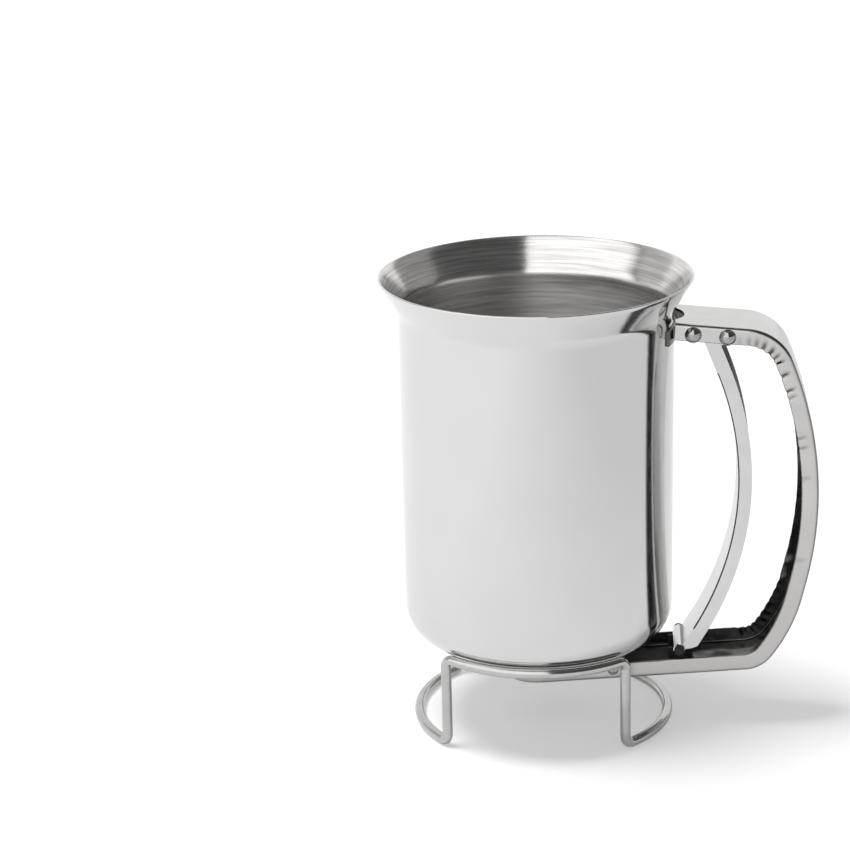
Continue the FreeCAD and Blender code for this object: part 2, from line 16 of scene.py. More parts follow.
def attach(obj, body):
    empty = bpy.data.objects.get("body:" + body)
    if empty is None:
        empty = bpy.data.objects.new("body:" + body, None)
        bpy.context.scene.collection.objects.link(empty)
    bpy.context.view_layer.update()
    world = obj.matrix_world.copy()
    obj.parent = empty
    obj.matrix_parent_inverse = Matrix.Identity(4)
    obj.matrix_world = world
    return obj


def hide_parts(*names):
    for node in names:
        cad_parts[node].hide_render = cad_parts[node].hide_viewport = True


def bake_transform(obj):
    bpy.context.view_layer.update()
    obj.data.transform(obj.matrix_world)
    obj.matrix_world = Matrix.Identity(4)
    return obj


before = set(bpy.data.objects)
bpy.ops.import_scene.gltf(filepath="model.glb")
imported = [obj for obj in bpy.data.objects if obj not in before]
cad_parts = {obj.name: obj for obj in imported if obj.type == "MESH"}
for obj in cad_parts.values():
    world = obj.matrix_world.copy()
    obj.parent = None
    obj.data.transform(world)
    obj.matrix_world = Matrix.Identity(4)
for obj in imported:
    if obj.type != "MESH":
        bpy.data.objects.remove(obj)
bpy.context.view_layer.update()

log = logging.getLogger("dispenser")

MM = 0.001
NEAR_AXIS = 0.01
Point = tuple[float, float, float]
Flat = tuple[float, float]
Tone = tuple[float, float, float]
WHITE: Tone = (1.0, 1.0, 1.0)


class Body(str, Enum):
    """The moving bodies that built pieces ride on."""

    STAND = "stand"
    DISPENSER = "dispenser"
    LEVER = "lever"


class Grain(Enum):
    """Which way the fine lines of a metal surface run."""

    RINGS = "rings round the upright axis"
    EVEN = "the same in every direction"


# Shader values


class Signal:
    """One output of a shader node. Sums, differences, products and powers of it add Math nodes."""

    def __init__(self, tree: bpy.types.NodeTree, socket: bpy.types.NodeSocket) -> None:
        """Keep the tree and the output socket.

        Args:
            tree: The node tree that the output belongs to.
            socket: The output itself.
        """
        self.tree = tree
        self.socket = socket

    def math(self, operation: str, first: "Signal | float", second: "Signal | float") -> "Signal":
        """Add one Math node.

        Args:
            operation: The Math node's operation.
            first: Its first value.
            second: Its second value.

        Returns:
            The node's result.
        """
        node = self.tree.nodes.new("ShaderNodeMath")
        node.operation = operation
        for socket, value in zip(node.inputs, (first, second)):
            if isinstance(value, Signal):
                self.tree.links.new(value.socket, socket)
            else:
                socket.default_value = value
        return Signal(self.tree, node.outputs[0])

    def __add__(self, other: "Signal | float") -> "Signal":
        """The sum."""
        return self.math("ADD", self, other)

    def __radd__(self, other: float) -> "Signal":
        """The sum, number first."""
        return self.math("ADD", other, self)

    def __sub__(self, other: "Signal | float") -> "Signal":
        """The difference."""
        return self.math("SUBTRACT", self, other)

    def __rsub__(self, other: float) -> "Signal":
        """The difference, number first."""
        return self.math("SUBTRACT", other, self)

    def __mul__(self, other: "Signal | float") -> "Signal":
        """The product."""
        return self.math("MULTIPLY", self, other)

    def __rmul__(self, other: float) -> "Signal":
        """The product, number first."""
        return self.math("MULTIPLY", other, self)

    def __pow__(self, other: "Signal | float") -> "Signal":
        """The power."""
        return self.math("POWER", self, other)


class NodeMaker:
    """Makes the nodes of one material or world."""

    def __init__(self, tree: bpy.types.NodeTree) -> None:
        """Start from an empty tree.

        Args:
            tree: The tree to fill.
        """
        self.tree = tree
        tree.nodes.clear()

    def make(self, kind: str, settings: dict[str, Any], inputs: dict[str | int, Any]) -> bpy.types.Node:
        """Add a node, set its options and then its sockets.

        Args:
            kind: The node's type.
            settings: Options by name; "stops" holds a ramp's (position, colour) pairs.
            inputs: Numbers, colours or signals by socket name or number.

        Returns:
            The node.
        """
        node = self.tree.nodes.new(kind)
        for key, value in settings.items():
            if key == "stops":
                while len(node.color_ramp.elements) < len(value):
                    node.color_ramp.elements.new(1.0)
                for element, (position, colour) in zip(node.color_ramp.elements, value):
                    element.position = position
                    element.color = (*colour, 1.0)
            else:
                setattr(node, key, value)
        for key, value in inputs.items():
            if isinstance(value, Signal):
                self.tree.links.new(value.socket, node.inputs[key])
            else:
                node.inputs[key].default_value = value
        return node

    def value(
        self, kind: str, settings: dict[str, Any], inputs: dict[str | int, Any], output: str | int = 0
    ) -> Signal:
        """Add a node and take one of its outputs.

        Args:
            kind: The node's type.
            settings: Options by name.
            inputs: Socket values by name or number.
            output: Which output to take.

        Returns:
            The output as a signal.
        """
        return Signal(self.tree, self.make(kind, settings, inputs).outputs[output])

    def place(self) -> tuple[Signal, Signal, Signal]:
        """The place on the surface, in the frame's own directions.

        Returns:
            Its x, y and z in metres.
        """
        point = self.value("ShaderNodeTexCoord", {}, {}, "Object")
        split = self.make("ShaderNodeSeparateXYZ", {}, {0: point})
        return tuple(Signal(self.tree, out) for out in split.outputs)

    def noise(self, vector: Signal, detail: float, roughness: float = 0.5) -> Signal:
        """Soft noise between 0 and 1.

        Args:
            vector: Where to read it; one unit is about one blob.
            detail: How many finer layers it has.
            roughness: How strong the finer layers are.

        Returns:
            The noise.
        """
        inputs = {"Vector": vector, "Scale": 1.0, "Detail": detail, "Roughness": roughness}
        return self.value("ShaderNodeTexNoise", {}, inputs, 0)

    def vector(self, x: Signal, y: Signal, z: Signal) -> Signal:
        """A vector from three values."""
        return self.value("ShaderNodeCombineXYZ", {}, {"X": x, "Y": y, "Z": z})

    def blobs(self, place: Sequence[Signal], per_metre: Sequence[float], detail: float) -> Signal:
        """Soft noise with its own rate along each direction.

        Args:
            place: The x, y and z of the surface.
            per_metre: Blobs per metre along each.
            detail: How many finer layers it has.

        Returns:
            The noise, between 0 and 1.
        """
        return self.noise(self.vector(*(axis * rate for axis, rate in zip(place, per_metre))), detail)

    def rise(self, value: Signal, span: Flat) -> Signal:
        """A smooth step: 0 below the span and 1 above it."""
        settings = {"interpolation_type": "SMOOTHSTEP"}
        return self.value("ShaderNodeMapRange", settings, {0: value, 1: span[0], 2: span[1]})

    def blend(self, share: Signal, low: Tone | Signal, high: Tone | Signal) -> Signal:
        """A colour between two others.

        Args:
            share: 0 gives the low colour and 1 the high one.
            low: One colour, or a signal of one.
            high: The other colour.

        Returns:
            The mixed colour.
        """
        colours = {6: low, 7: high}
        inputs = {k: c if isinstance(c, Signal) else (*c, 1.0) for k, c in colours.items()}
        return self.value("ShaderNodeMix", {"data_type": "RGBA"}, {0: share, **inputs}, 2)


def new_material(name: str, surface: Callable[[NodeMaker], Signal]) -> bpy.types.Material:
    """Make a material from its surface shader.

    Args:
        name: Its name.
        surface: Makes the surface's shader with the tree's maker.

    Returns:
        The material.
    """
    made = bpy.data.materials.new(name)
    made.use_nodes = True
    maker = NodeMaker(made.node_tree)
    maker.make("ShaderNodeOutputMaterial", {}, {"Surface": surface(maker)})
    return made


# Finishes


@dataclass(frozen=True)
class Finish:
    """A surface finish: its two tones, which blend in soft clouds, and its roughness."""

    name: str
    tone: Tone
    shade: Tone
    roughness: float

    def surface(self, maker: NodeMaker) -> Signal:
        """The finish's shader, which each kind of finish makes in its own way."""
        raise NotImplementedError

    def material(self) -> bpy.types.Material:
        """The finish as a material, made once."""
        return bpy.data.materials.get(self.name) or new_material(self.name, self.surface)


@dataclass(frozen=True)
class SteelFinish(Finish):
    """A stainless surface: its sheen, and the fine lines or pits that polishing leaves; where set, also
    painted shade towards the bottom and in folds, corners and cut edges.
    """

    roughness_spread: float = 0.04
    grain: Grain = Grain.EVEN
    grain_per_mm: float = 3.0
    grain_depth_mm: float = 0.002
    streaks: float = 0.0
    clouds_per_mm: float = 0.05
    anisotropy: float = 0.0
    painted_crease_shade: Tone | None = None
    ripple_mm: float = 0.0
    painted_foot_shade: float = 0.0
    deep_roughness: float = 0.0
    fine_along_per_mm: float = 0.06
    streak_share: float = 0.25
    streak_along_per_mm: float = 0.035
    streak_contrast: float = 2.6
    ripples_per_m: Point = (130.0, 90.0, 130.0)
    painted_foot_span: Flat = (0.02, 0.11)
    deep_span: Flat = (0.152, 0.160)

    def grain_vector(self, maker: NodeMaker, across: float, along: float) -> Signal:
        """Where to read a noise so that it runs the way the grain does.

        Args:
            maker: The tree's maker.
            across: Lines per millimetre across the grain.
            along: Blobs per millimetre along it.

        Returns:
            The vector.
        """
        x, y, z = maker.place()
        if self.grain is Grain.RINGS:
            radius = (x * x + y * y) ** 0.5
            return maker.vector(x * (along / MM), y * (along / MM), (z + radius) * (across / MM))
        return maker.vector(x * (across / MM), y * (across / MM), z * (across / MM))

    def surface(self, maker: NodeMaker) -> Signal:
        """The metal's shader.

        Args:
            maker: The tree's maker.

        Returns:
            The shader.
        """
        place = maker.place()
        height = place[2]
        fine = maker.noise(self.grain_vector(maker, self.grain_per_mm, self.fine_along_per_mm), 3.0, 0.6)
        across = self.grain_per_mm * self.streak_share
        streak = maker.noise(self.grain_vector(maker, across, self.streak_along_per_mm), 4.0, 0.6)
        clouds = maker.blobs(place, [self.clouds_per_mm / MM] * 3, 2.0)
        share = clouds * (1.0 - self.streaks) + ((streak - 0.5) * self.streak_contrast + 0.5) * self.streaks
        colour = maker.blend(share, self.shade, self.tone)
        # Painted shade: the colour darkens towards the bottom, standing in for the darker floor that the
        # lower flange reflects.
        if self.painted_foot_shade:
            low = 1.0 - maker.rise(height, self.painted_foot_span)
            colour = maker.blend(low * self.painted_foot_shade * (clouds + 0.5), colour, self.shade)
        # Painted shade: a near-black tone in the folds and along bent corners and cut edges, read from a
        # point attribute, standing in for the dark reflections there.
        if self.painted_crease_shade is not None:
            crease = maker.value("ShaderNodeAttribute", {"attribute_name": "crease"}, {}, "Fac")
            colour = maker.blend(crease, colour, self.painted_crease_shade)
        relief, depth_mm = fine, self.grain_depth_mm
        if self.ripple_mm:
            wave = maker.blobs(place, self.ripples_per_m, 0.6)
            relief, depth_mm = fine * self.grain_depth_mm + wave * self.ripple_mm, 1.0
        sheen = (streak - 0.5) * self.roughness_spread + self.roughness
        if self.deep_roughness:
            deep = 1.0 - maker.rise(height, self.deep_span)
            sheen = sheen + deep * (self.deep_roughness - self.roughness)
        pits = {"Strength": 1.0, "Distance": depth_mm * MM, "Height": relief}
        bump = maker.value("ShaderNodeBump", {}, pits)
        inputs = {
            "Base Color": colour,
            "Metallic": 1.0,
            "Roughness": sheen,
            "Anisotropic": self.anisotropy,
            "Anisotropic Rotation": 0.25,
            "Normal": bump,
        }
        return maker.value("ShaderNodeBsdfPrincipled", {}, inputs)


@dataclass(frozen=True)
class MouldedFinish(Finish):
    """A moulded plastic or rubber surface with a faint texture."""

    texture_per_mm: float = 4.0
    texture_depth_mm: float = 0.01
    clouds_per_m: float = 220.0
    roughness_spread: float = 0.1

    def surface(self, maker: NodeMaker) -> Signal:
        """The plastic's shader.

        Args:
            maker: The tree's maker.

        Returns:
            The shader.
        """
        place = maker.place()
        speckle = maker.blobs(place, [self.texture_per_mm / MM] * 3, 2.0)
        clouds = maker.blobs(place, [self.clouds_per_m] * 3, 2.0)
        relief = {"Strength": 1.0, "Distance": self.texture_depth_mm * MM, "Height": speckle}
        bump = maker.value("ShaderNodeBump", {}, relief)
        inputs = {
            "Base Color": maker.blend(clouds, self.shade, self.tone),
            "Roughness": (clouds - 0.5) * self.roughness_spread + self.roughness,
            "Normal": bump,
        }
        return maker.value("ShaderNodeBsdfPrincipled", {}, inputs)


CUP_OUTSIDE = SteelFinish(
    "cup_polished", (0.69, 0.69, 0.685), (0.65, 0.65, 0.645), 0.10, 0.02, Grain.RINGS, 3.0, 0.0004
)
CUP_INSIDE = SteelFinish(
    "cup_brushed", (0.86, 0.85, 0.84), (0.44, 0.43, 0.42), 0.20, 0.12, Grain.RINGS, 3.2, 0.003,
    streaks=0.8, anisotropy=0.75, deep_roughness=0.46,
)
# The handle's satin steel, with painted shade in its folds, along its corners and cut edges, and towards its
# foot.
CHANNEL_OUTSIDE = SteelFinish(
    "handle_satin_painted_shade", (0.68, 0.675, 0.67), (0.52, 0.515, 0.505), 0.20, 0.08, grain_depth_mm=0.003,
    clouds_per_mm=0.09, painted_crease_shade=(0.03, 0.028, 0.027), painted_foot_shade=0.95,
)
# Painted shade: the inside of the channel is steel darkened to near black, standing in for the shade and dark
# reflections in the hollow.
CHANNEL_INSIDE_PAINTED_SHADE = SteelFinish(
    "handle_inside_painted_shade", (0.22, 0.215, 0.21), (0.03, 0.03, 0.03), 0.24, 0.10,
    clouds_per_mm=0.12, ripple_mm=1.5,
)
LEVER_STEEL = SteelFinish(
    "lever_satin", (0.72, 0.715, 0.71), (0.60, 0.595, 0.59), 0.20, 0.06,
    grain_depth_mm=0.003, clouds_per_mm=0.08,
)
# Painted shade: the lever's steel darkened on the inside of its channel, standing in for the shade in the
# hollow.
LEVER_INSIDE_PAINTED_SHADE = SteelFinish(
    "lever_inside_painted_shade", (0.36, 0.355, 0.35), (0.20, 0.20, 0.196), 0.26, 0.08, clouds_per_mm=0.1
)
# Painted shade: a near-black finish for the lever's rounded edges and the rivet heads' rims, standing in for
# dark reflections and a contact shadow.
PAINTED_EDGE_SHADE = SteelFinish("painted_edge_shade", (0.07, 0.068, 0.066), (0.035, 0.034, 0.033), 0.3)
WIRE_STEEL = SteelFinish(
    "wire_bright", (0.57, 0.57, 0.562), (0.42, 0.42, 0.412), 0.13, 0.06, clouds_per_mm=0.2
)
RIVET_STEEL = SteelFinish("rivet_polished", (0.46, 0.455, 0.45), (0.34, 0.335, 0.33), 0.07, 0.04)
# Painted shade: the brackets' steel darkened to near black, standing in for the shade inside the channel.
BRACKET_PAINTED_SHADE = SteelFinish("bracket_painted_shade", (0.16, 0.16, 0.158), (0.08, 0.08, 0.078), 0.2)
VALVE_STEEL = SteelFinish("valve_satin", (0.60, 0.60, 0.59), (0.48, 0.48, 0.47), 0.26)
SPRING_STEEL = SteelFinish("spring_drawn", (0.50, 0.49, 0.48), (0.38, 0.37, 0.36), 0.22)
BLACK_PLASTIC = MouldedFinish("black_plastic", (0.022, 0.022, 0.022), (0.014, 0.014, 0.014), 0.34)
SEAL_RUBBER = MouldedFinish("seal_rubber", (0.13, 0.13, 0.135), (0.10, 0.10, 0.105), 0.5)


# Mesh making


@dataclass
class Skin:
    """Points and faces of a piece, in millimetres, before it becomes an object."""

    points: list[Point] = field(default_factory=list)
    faces: list[tuple[int, ...]] = field(default_factory=list)
    coats: list[int] = field(default_factory=list)

    def ring(self, points: Iterable[Point]) -> list[int]:
        """Add a row of points.

        Args:
            points: The points in order.

        Returns:
            Their numbers.
        """
        first = len(self.points)
        self.points.extend(tuple(p) for p in points)
        return list(range(first, len(self.points)))

    def face(self, corners: Sequence[int], coat: int = 0) -> None:
        """Add one face."""
        self.faces.append(tuple(corners))
        self.coats.append(coat)

    def bridge(
        self, first: Sequence[int], second: Sequence[int], closed: bool, coats: Sequence[int] = ()
    ) -> None:
        """Join two rows of the same length with four-sided faces.

        Args:
            first: One row.
            second: The next row.
            closed: Whether each row runs back to its start.
            coats: The coat of each face along the row, or none for coat 0.
        """
        count = len(first)
        for k in range(count if closed else count - 1):
            after = (k + 1) % count
            self.face((first[k], first[after], second[after], second[k]), coats[k] if coats else 0)

    def build(self, name: str, finishes: Sequence[Finish], sharp: float = 35.0) -> bpy.types.Object:
        """Turn the skin into an object in the scene.

        Args:
            name: The piece's name.
            finishes: The finish of each coat.
            sharp: Edges that turn by more than this many degrees stay crisp.

        Returns:
            The object.
        """
        mesh = bpy.data.meshes.new(name)
        mesh.from_pydata([tuple(c * MM for c in p) for p in self.points], [], self.faces)
        mesh.polygons.foreach_set("material_index", self.coats)
        shape = bmesh.new()
        shape.from_mesh(mesh)
        bmesh.ops.remove_doubles(shape, verts=shape.verts, dist=0.0001 * MM)
        bmesh.ops.recalc_face_normals(shape, faces=shape.faces)
        shape.to_mesh(mesh)
        shape.free()
        piece = bpy.data.objects.new(name, mesh)
        bpy.context.scene.collection.objects.link(piece)
        for finish in finishes:
            mesh.materials.append(finish.material())
        smooth(mesh, sharp)
        return piece


def smooth(mesh: bpy.types.Mesh, sharp: float) -> None:
    """Shade a mesh smoothly, with crisp edges where it turns sharply."""
    mesh.shade_smooth()
    mesh.set_sharp_from_angle(angle=math.radians(sharp))


def turned(profile: Sequence[Flat], coats: Sequence[int], steps: int) -> Skin:
    """Turn a closed profile about the Z axis.

    Args:
        profile: (radius, height) points of the closed outline.
        coats: The coat of each side of the outline.
        steps: How many steps the full turn has.

    Returns:
        The turned skin.
    """
    skin = Skin()
    rows = []
    for k in range(steps):
        angle = 2.0 * math.pi * k / steps
        rows.append(skin.ring((r * math.cos(angle), r * math.sin(angle), z) for r, z in profile))
    for k in range(steps):
        skin.bridge(rows[k], rows[(k + 1) % steps], True, coats)
    return skin


def round_solid(radius: float, span: Flat, steps: int) -> Skin:
    """An upright round solid for cutting.

    Args:
        radius: Its radius.
        span: Its lowest and highest level.
        steps: How many steps the full turn has.

    Returns:
        The solid's skin.
    """
    low, high = span
    profile = [(NEAR_AXIS, low), (radius, low), (radius, high), (NEAR_AXIS, high)]
    return turned(profile, [0] * len(profile), steps)


def laid_across(skin: Skin, place: Flat) -> Skin:
    """Lay a turned skin over, so that its axis runs along Y through an (x, z) place."""
    skin.points = [(place[0] + x, z, place[1] - y) for x, y, z in skin.points]
    return skin


def arc_points(centre: Flat, radius: float, start: float, end: float, steps: int) -> list[Flat]:
    """Points on an arc, both ends included.

    Args:
        centre: The arc's centre.
        radius: Its radius.
        start: The first angle, in degrees.
        end: The last angle, in degrees.
        steps: How many steps it has.

    Returns:
        The points.
    """
    angles = [math.radians(start + (end - start) * k / steps) for k in range(steps + 1)]
    return [(centre[0] + radius * math.cos(a), centre[1] + radius * math.sin(a)) for a in angles]


def tube(path: Sequence[Vector], radius: float, sides: int, closed: bool) -> Skin:
    """A round tube along a path.

    Args:
        path: The points of its centre line.
        radius: The tube's radius.
        sides: How many sides its section has.
        closed: Whether the path runs back to its start.

    Returns:
        The tube's skin, with rounded ends where it is open.
    """
    skin = Skin()
    count = len(path)
    headings = []
    for k in range(count):
        before = path[k - 1] if closed or k > 0 else path[k]
        after = path[(k + 1) % count] if closed or k < count - 1 else path[k]
        headings.append((after - before).normalized())
    side = headings[0].orthogonal().normalized()
    sides_of = [side]
    for a, b in zip(headings, headings[1:] + headings[:1]):
        side = a.rotation_difference(b) @ side
        side = (side - b * side.dot(b)).normalized()
        sides_of.append(side)
    twist = 0.0
    if closed:
        up = headings[0].cross(sides_of[0])
        twist = math.atan2(sides_of[-1].dot(up), sides_of[-1].dot(sides_of[0]))
    rows = []
    edge_size, edge_depth, below_edge_size = 0.55, 0.1, 0.9

    def row(k: int, shift: float, size: float) -> list[int]:
        """Add the section at one point of the path, moved along it and with its own size."""
        first, heading = sides_of[k], headings[k]
        second = heading.cross(first)
        lean = -twist * k / count
        points = []
        for n in range(sides):
            angle = 2.0 * math.pi * n / sides + lean
            spoke = first * math.cos(angle) + second * math.sin(angle)
            points.append(path[k] + heading * shift + spoke * size)
        return skin.ring(points)

    if not closed:
        rows += [row(0, 0.0, radius * edge_size), row(0, radius * edge_depth, radius * below_edge_size)]
    rows += [row(k, 0.0, radius) for k in range(0 if closed else 1, count if closed else count - 1)]
    if not closed:
        rows.append(row(count - 1, -radius * edge_depth, radius * below_edge_size))
        rows.append(row(count - 1, 0.0, radius * edge_size))
        skin.face(list(reversed(rows[0])))
        skin.face(rows[-1])
    for a, b in zip(rows, rows[1:]):
        skin.bridge(a, b, True)
    if closed:
        skin.bridge(rows[-1], rows[0], True)
    return skin


def fillet(corner: Vector, before: Vector, after: Vector, setback: float, steps: int) -> list[Vector]:
    """Points of an arc that rounds a corner.

    Args:
        corner: The corner.
        before: The unit direction of the run that arrives.
        after: The unit direction of the run that leaves.
        setback: How far from the corner the arc starts and ends.
        steps: How many steps the arc has.

    Returns:
        The points, both ends included.
    """
    half_gap = 0.5 * (-before).angle(after)
    middle = (after - before).normalized()
    centre = corner + middle * (setback * math.tan(half_gap) / math.sin(half_gap))
    first = corner - before * setback - centre
    last = corner + after * setback - centre
    reach = first.length
    return [centre + first.slerp(last, k / steps).normalized() * reach for k in range(steps + 1)]


def carve(piece: bpy.types.Object, cutters: Sequence[bpy.types.Object]) -> None:
    """Cut solids out of a piece for good.

    Args:
        piece: The piece to cut.
        cutters: The solids, which are removed afterwards.
    """
    for cutter in cutters:
        cut = piece.modifiers.new("cut", "BOOLEAN")
        cut.operation = "DIFFERENCE"
        cut.solver = "EXACT"
        cut.object = cutter
    seen = piece.evaluated_get(bpy.context.evaluated_depsgraph_get())
    made = bpy.data.meshes.new_from_object(seen)
    piece.modifiers.clear()
    piece.data = made
    for cutter in cutters:
        bpy.data.objects.remove(cutter)


def soften(piece: bpy.types.Object, width_mm: float, coat: int = -1, marked_mm: float = 0.0) -> None:
    """Round a piece's sharp edges with modifiers.

    Args:
        piece: The piece.
        width_mm: The rounding's width.
        coat: The coat of the rounded edges, or -1 for that of their faces.
        marked_mm: The width of the rounding along the edges that carry a bevel weight, if there are any.
    """
    weld = piece.modifiers.new("weld", "WELD")
    weld.merge_threshold = 0.002 * MM
    for name, limit, width in (("marked_edges", "WEIGHT", marked_mm), ("soft_edges", "ANGLE", width_mm)):
        if width:
            bevel = piece.modifiers.new(name, "BEVEL")
            bevel.width = width * MM
            bevel.segments = 2
            bevel.limit_method = limit
            bevel.angle_limit = math.radians(32.0)
            bevel.use_clamp_overlap = True
            bevel.material = coat
            bevel.miter_outer = "MITER_ARC"
    shading = piece.modifiers.new("even_shading", "WEIGHTED_NORMAL")
    shading.keep_sharp = False
    shading.weight = 80


def keep_node(
    node: str,
    finish: Finish,
    edge_mm: float,
    edge_finish: Finish | None = None,
    hidden: Callable[[Vector, Vector], bool] | None = None,
    hidden_finish: Finish | None = None,
    marked_mm: float = 0.0,
) -> None:
    """Keep a construction piece as it is, with its finishes and softened edges.

    Args:
        node: The piece's name.
        finish: Its finish.
        edge_mm: How wide its edges are rounded.
        edge_finish: The finish of the rounded edges, if it differs.
        hidden: Tells from a face's middle, in millimetres, and its normal whether it takes the second finish.
        hidden_finish: The second finish.
        marked_mm: How wide the edges that carry a bevel weight are rounded, or 0 for none.
    """
    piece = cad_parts[node]
    for slot in piece.material_slots:
        slot.link = "OBJECT"
        slot.material = finish.material()
    coat = -1
    if edge_finish is not None:
        piece.data.materials.append(edge_finish.material())
        coat = len(piece.data.materials) - 1
    if hidden is not None and hidden_finish is not None:
        piece.data.materials.append(hidden_finish.material())
        for face in piece.data.polygons:
            if hidden(face.center / MM, face.normal):
                face.material_index = len(piece.data.materials) - 1
    soften(piece, edge_mm, coat, marked_mm)
    log.info("%s kept, finish %s", node, finish.name)


def place_piece(piece: bpy.types.Object, body: Body, slot: str, *nodes: str) -> None:
    """Let a piece ride on a body and stand for its construction pieces.

    Args:
        piece: The piece.
        body: The body that it rides on.
        slot: The record's material slot; not used.
        nodes: The construction pieces that it stands for.
    """
    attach(piece, body.value)
    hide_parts(*nodes)
    log.info("%s built, %d faces, rides on %s", piece.name, len(piece.data.polygons), body.value)


# Cup


@dataclass
class Cup:
    """The drawn cup: a flat base, a straight wall and a flared mouth with a rounded lip."""

    radius: float = 50.0
    wall: float = 0.8
    base_z: float = 34.5
    base_corner: float = 12.0
    flare_corner_z: float = 160.0
    flare_corner: float = 8.0
    rim_radius: float = 57.0
    rim_z: float = 171.8
    hole_radius: float = 8.0
    steps: int = 288
    base_steps: int = 8
    corner_steps: int = 14
    wall_steps: int = 20
    bend_steps: int = 12
    flare_steps: int = 8
    lip_steps: int = 6

    def side(self, growth: float, lift: float = 0.0) -> list[Flat]:
        """One side of the sheet, from the hole in the base to the rim.

        Args:
            growth: How far the side stands outside the outer face.
            lift: Extra height of the end at the rim.

        Returns:
            (radius, height) points.
        """
        low = self.base_z - growth
        flat = self.radius - self.base_corner
        centre_z = self.base_z + self.base_corner
        count = self.base_steps
        points = [(self.hole_radius + (flat - self.hole_radius) * k / count, low) for k in range(count)]
        points += arc_points((flat, centre_z), self.base_corner + growth, -90.0, 0.0, self.corner_steps)
        lean = math.atan2(self.rim_radius - self.radius, self.rim_z - self.flare_corner_z)
        bend_z = self.flare_corner_z - self.flare_corner * math.tan(lean / 2)
        rise = bend_z - centre_z
        count = self.wall_steps
        points += [(self.radius + growth, centre_z + rise * k / count) for k in range(1, count)]
        bend = (self.radius + self.flare_corner, bend_z)
        top = 180.0 - math.degrees(lean)
        points += arc_points(bend, self.flare_corner - growth, 180.0, top, self.bend_steps)
        start = points[-1]
        end = (self.rim_radius + growth * math.cos(lean), self.rim_z - growth * math.sin(lean))
        count = self.flare_steps
        run_x, run_z = end[0] - start[0], end[1] - start[1]
        points += [(start[0] + run_x * k / count, start[1] + run_z * k / count) for k in range(1, count + 1)]
        if lift:
            points.append((points[-1][0], points[-1][1] + lift))
        return points

    def build(self) -> None:
        """Build the cup and dress its two sides."""
        outside, inside = self.side(0.0), self.side(-self.wall)
        end, start = outside[-1], inside[-1]
        middle = ((end[0] + start[0]) / 2, (end[1] + start[1]) / 2)
        before = outside[-2]
        run = math.hypot(end[0] - before[0], end[1] - before[1])
        along = ((end[0] - before[0]) / run, (end[1] - before[1]) / run)
        out = (end[0] - middle[0], end[1] - middle[1])
        lip = []
        for k in range(1, self.lip_steps):
            turn = math.pi * k / self.lip_steps
            reach = math.hypot(*out) * math.sin(turn)
            lip.append((
                middle[0] + out[0] * math.cos(turn) + along[0] * reach,
                middle[1] + out[1] * math.cos(turn) + along[1] * reach,
            ))
        profile = outside + lip + inside[::-1]
        coats = [0] * (len(outside) + 2) + [1] * (len(profile) - len(outside) - 3) + [0]
        piece = turned(profile, coats, self.steps).build("cup_shell", [CUP_OUTSIDE, CUP_INSIDE], 50.0)
        place_piece(piece, Body.DISPENSER, "cup_steel", "cup_body")

    def envelope(self, growth: float) -> bpy.types.Object:
        """A solid of everything inside the cup's outer face.

        Args:
            growth: How far the solid stands outside that face.

        Returns:
            The solid, for cutting.
        """
        above_rim, steps = 20.0, 192
        side = self.side(growth, above_rim)[self.base_steps - 1:]
        profile = [(NEAR_AXIS, side[0][1])] + side + [(NEAR_AXIS, side[-1][1])]
        return turned(profile, [0] * len(profile), steps).build("cup_envelope", [])


# Handle


@dataclass(frozen=True)
class Station:
    """A place on a path in the plane y = 0: its point, its direction and its distance from the start."""

    x: float
    z: float
    along_x: float
    along_z: float
    distance: float

    def inward(self, depth: float) -> Flat:
        """The (x, z) point at a depth to the right of travel."""
        return (self.x + self.along_z * depth, self.z - self.along_x * depth)


@dataclass(frozen=True)
class RoundedPath:
    """A path of straight runs and tangent arcs in the plane y = 0, that always turns to the right."""

    corners: tuple[Flat, ...]
    radii: tuple[float, ...]

    def stations(self, step: float, stop_short: float = 0.0) -> list[Station]:
        """Places along the path.

        Args:
            step: How far apart they are, at most.
            stop_short: How far before the path's end they stop.

        Returns:
            The places in order.
        """
        made: list[Station] = []
        distance = 0.0
        start = Vector(self.corners[0])
        for index in range(1, len(self.corners)):
            corner = Vector(self.corners[index])
            before = (corner - Vector(self.corners[index - 1])).normalized()
            last = index == len(self.corners) - 1
            angle = setback = radius = 0.0
            if not last:
                after = (Vector(self.corners[index + 1]) - corner).normalized()
                angle = before.angle(after)
                radius = self.radii[index - 1]
                setback = radius * math.tan(angle / 2)
            end = corner - before * (stop_short if last else setback)
            length = (end - start).length
            count = max(1, math.ceil(length / step))
            for k in range(count + (1 if last else 0)):
                point = start + (end - start) * (k / count)
                made.append(Station(point.x, point.y, before.x, before.y, distance + length * k / count))
            distance += length
            if last:
                break
            centre = end + Vector((before.y, -before.x)) * radius
            count = max(3, math.ceil(radius * angle / step))
            for k in range(count):
                turn = angle * k / count
                along = Vector((
                    before.x * math.cos(turn) + before.y * math.sin(turn),
                    before.y * math.cos(turn) - before.x * math.sin(turn),
                ))
                point = centre + Vector((-along.y, along.x)) * radius
                made.append(Station(point.x, point.y, along.x, along.y, distance + radius * turn))
            distance += radius * angle
            start = corner + after * setback
        return made


@dataclass(frozen=True)
class Pleat:
    """A small fold pressed into a flange where the channel was bent: its place, depth and half length."""

    distance: float
    depth: float
    half_length: float

    def share(self, distance: float, lean: float) -> float:
        """How deep the fold is at a distance along the handle, from 0 to 1."""
        return math.exp(-(((distance - self.distance - lean) / self.half_length) ** 2))


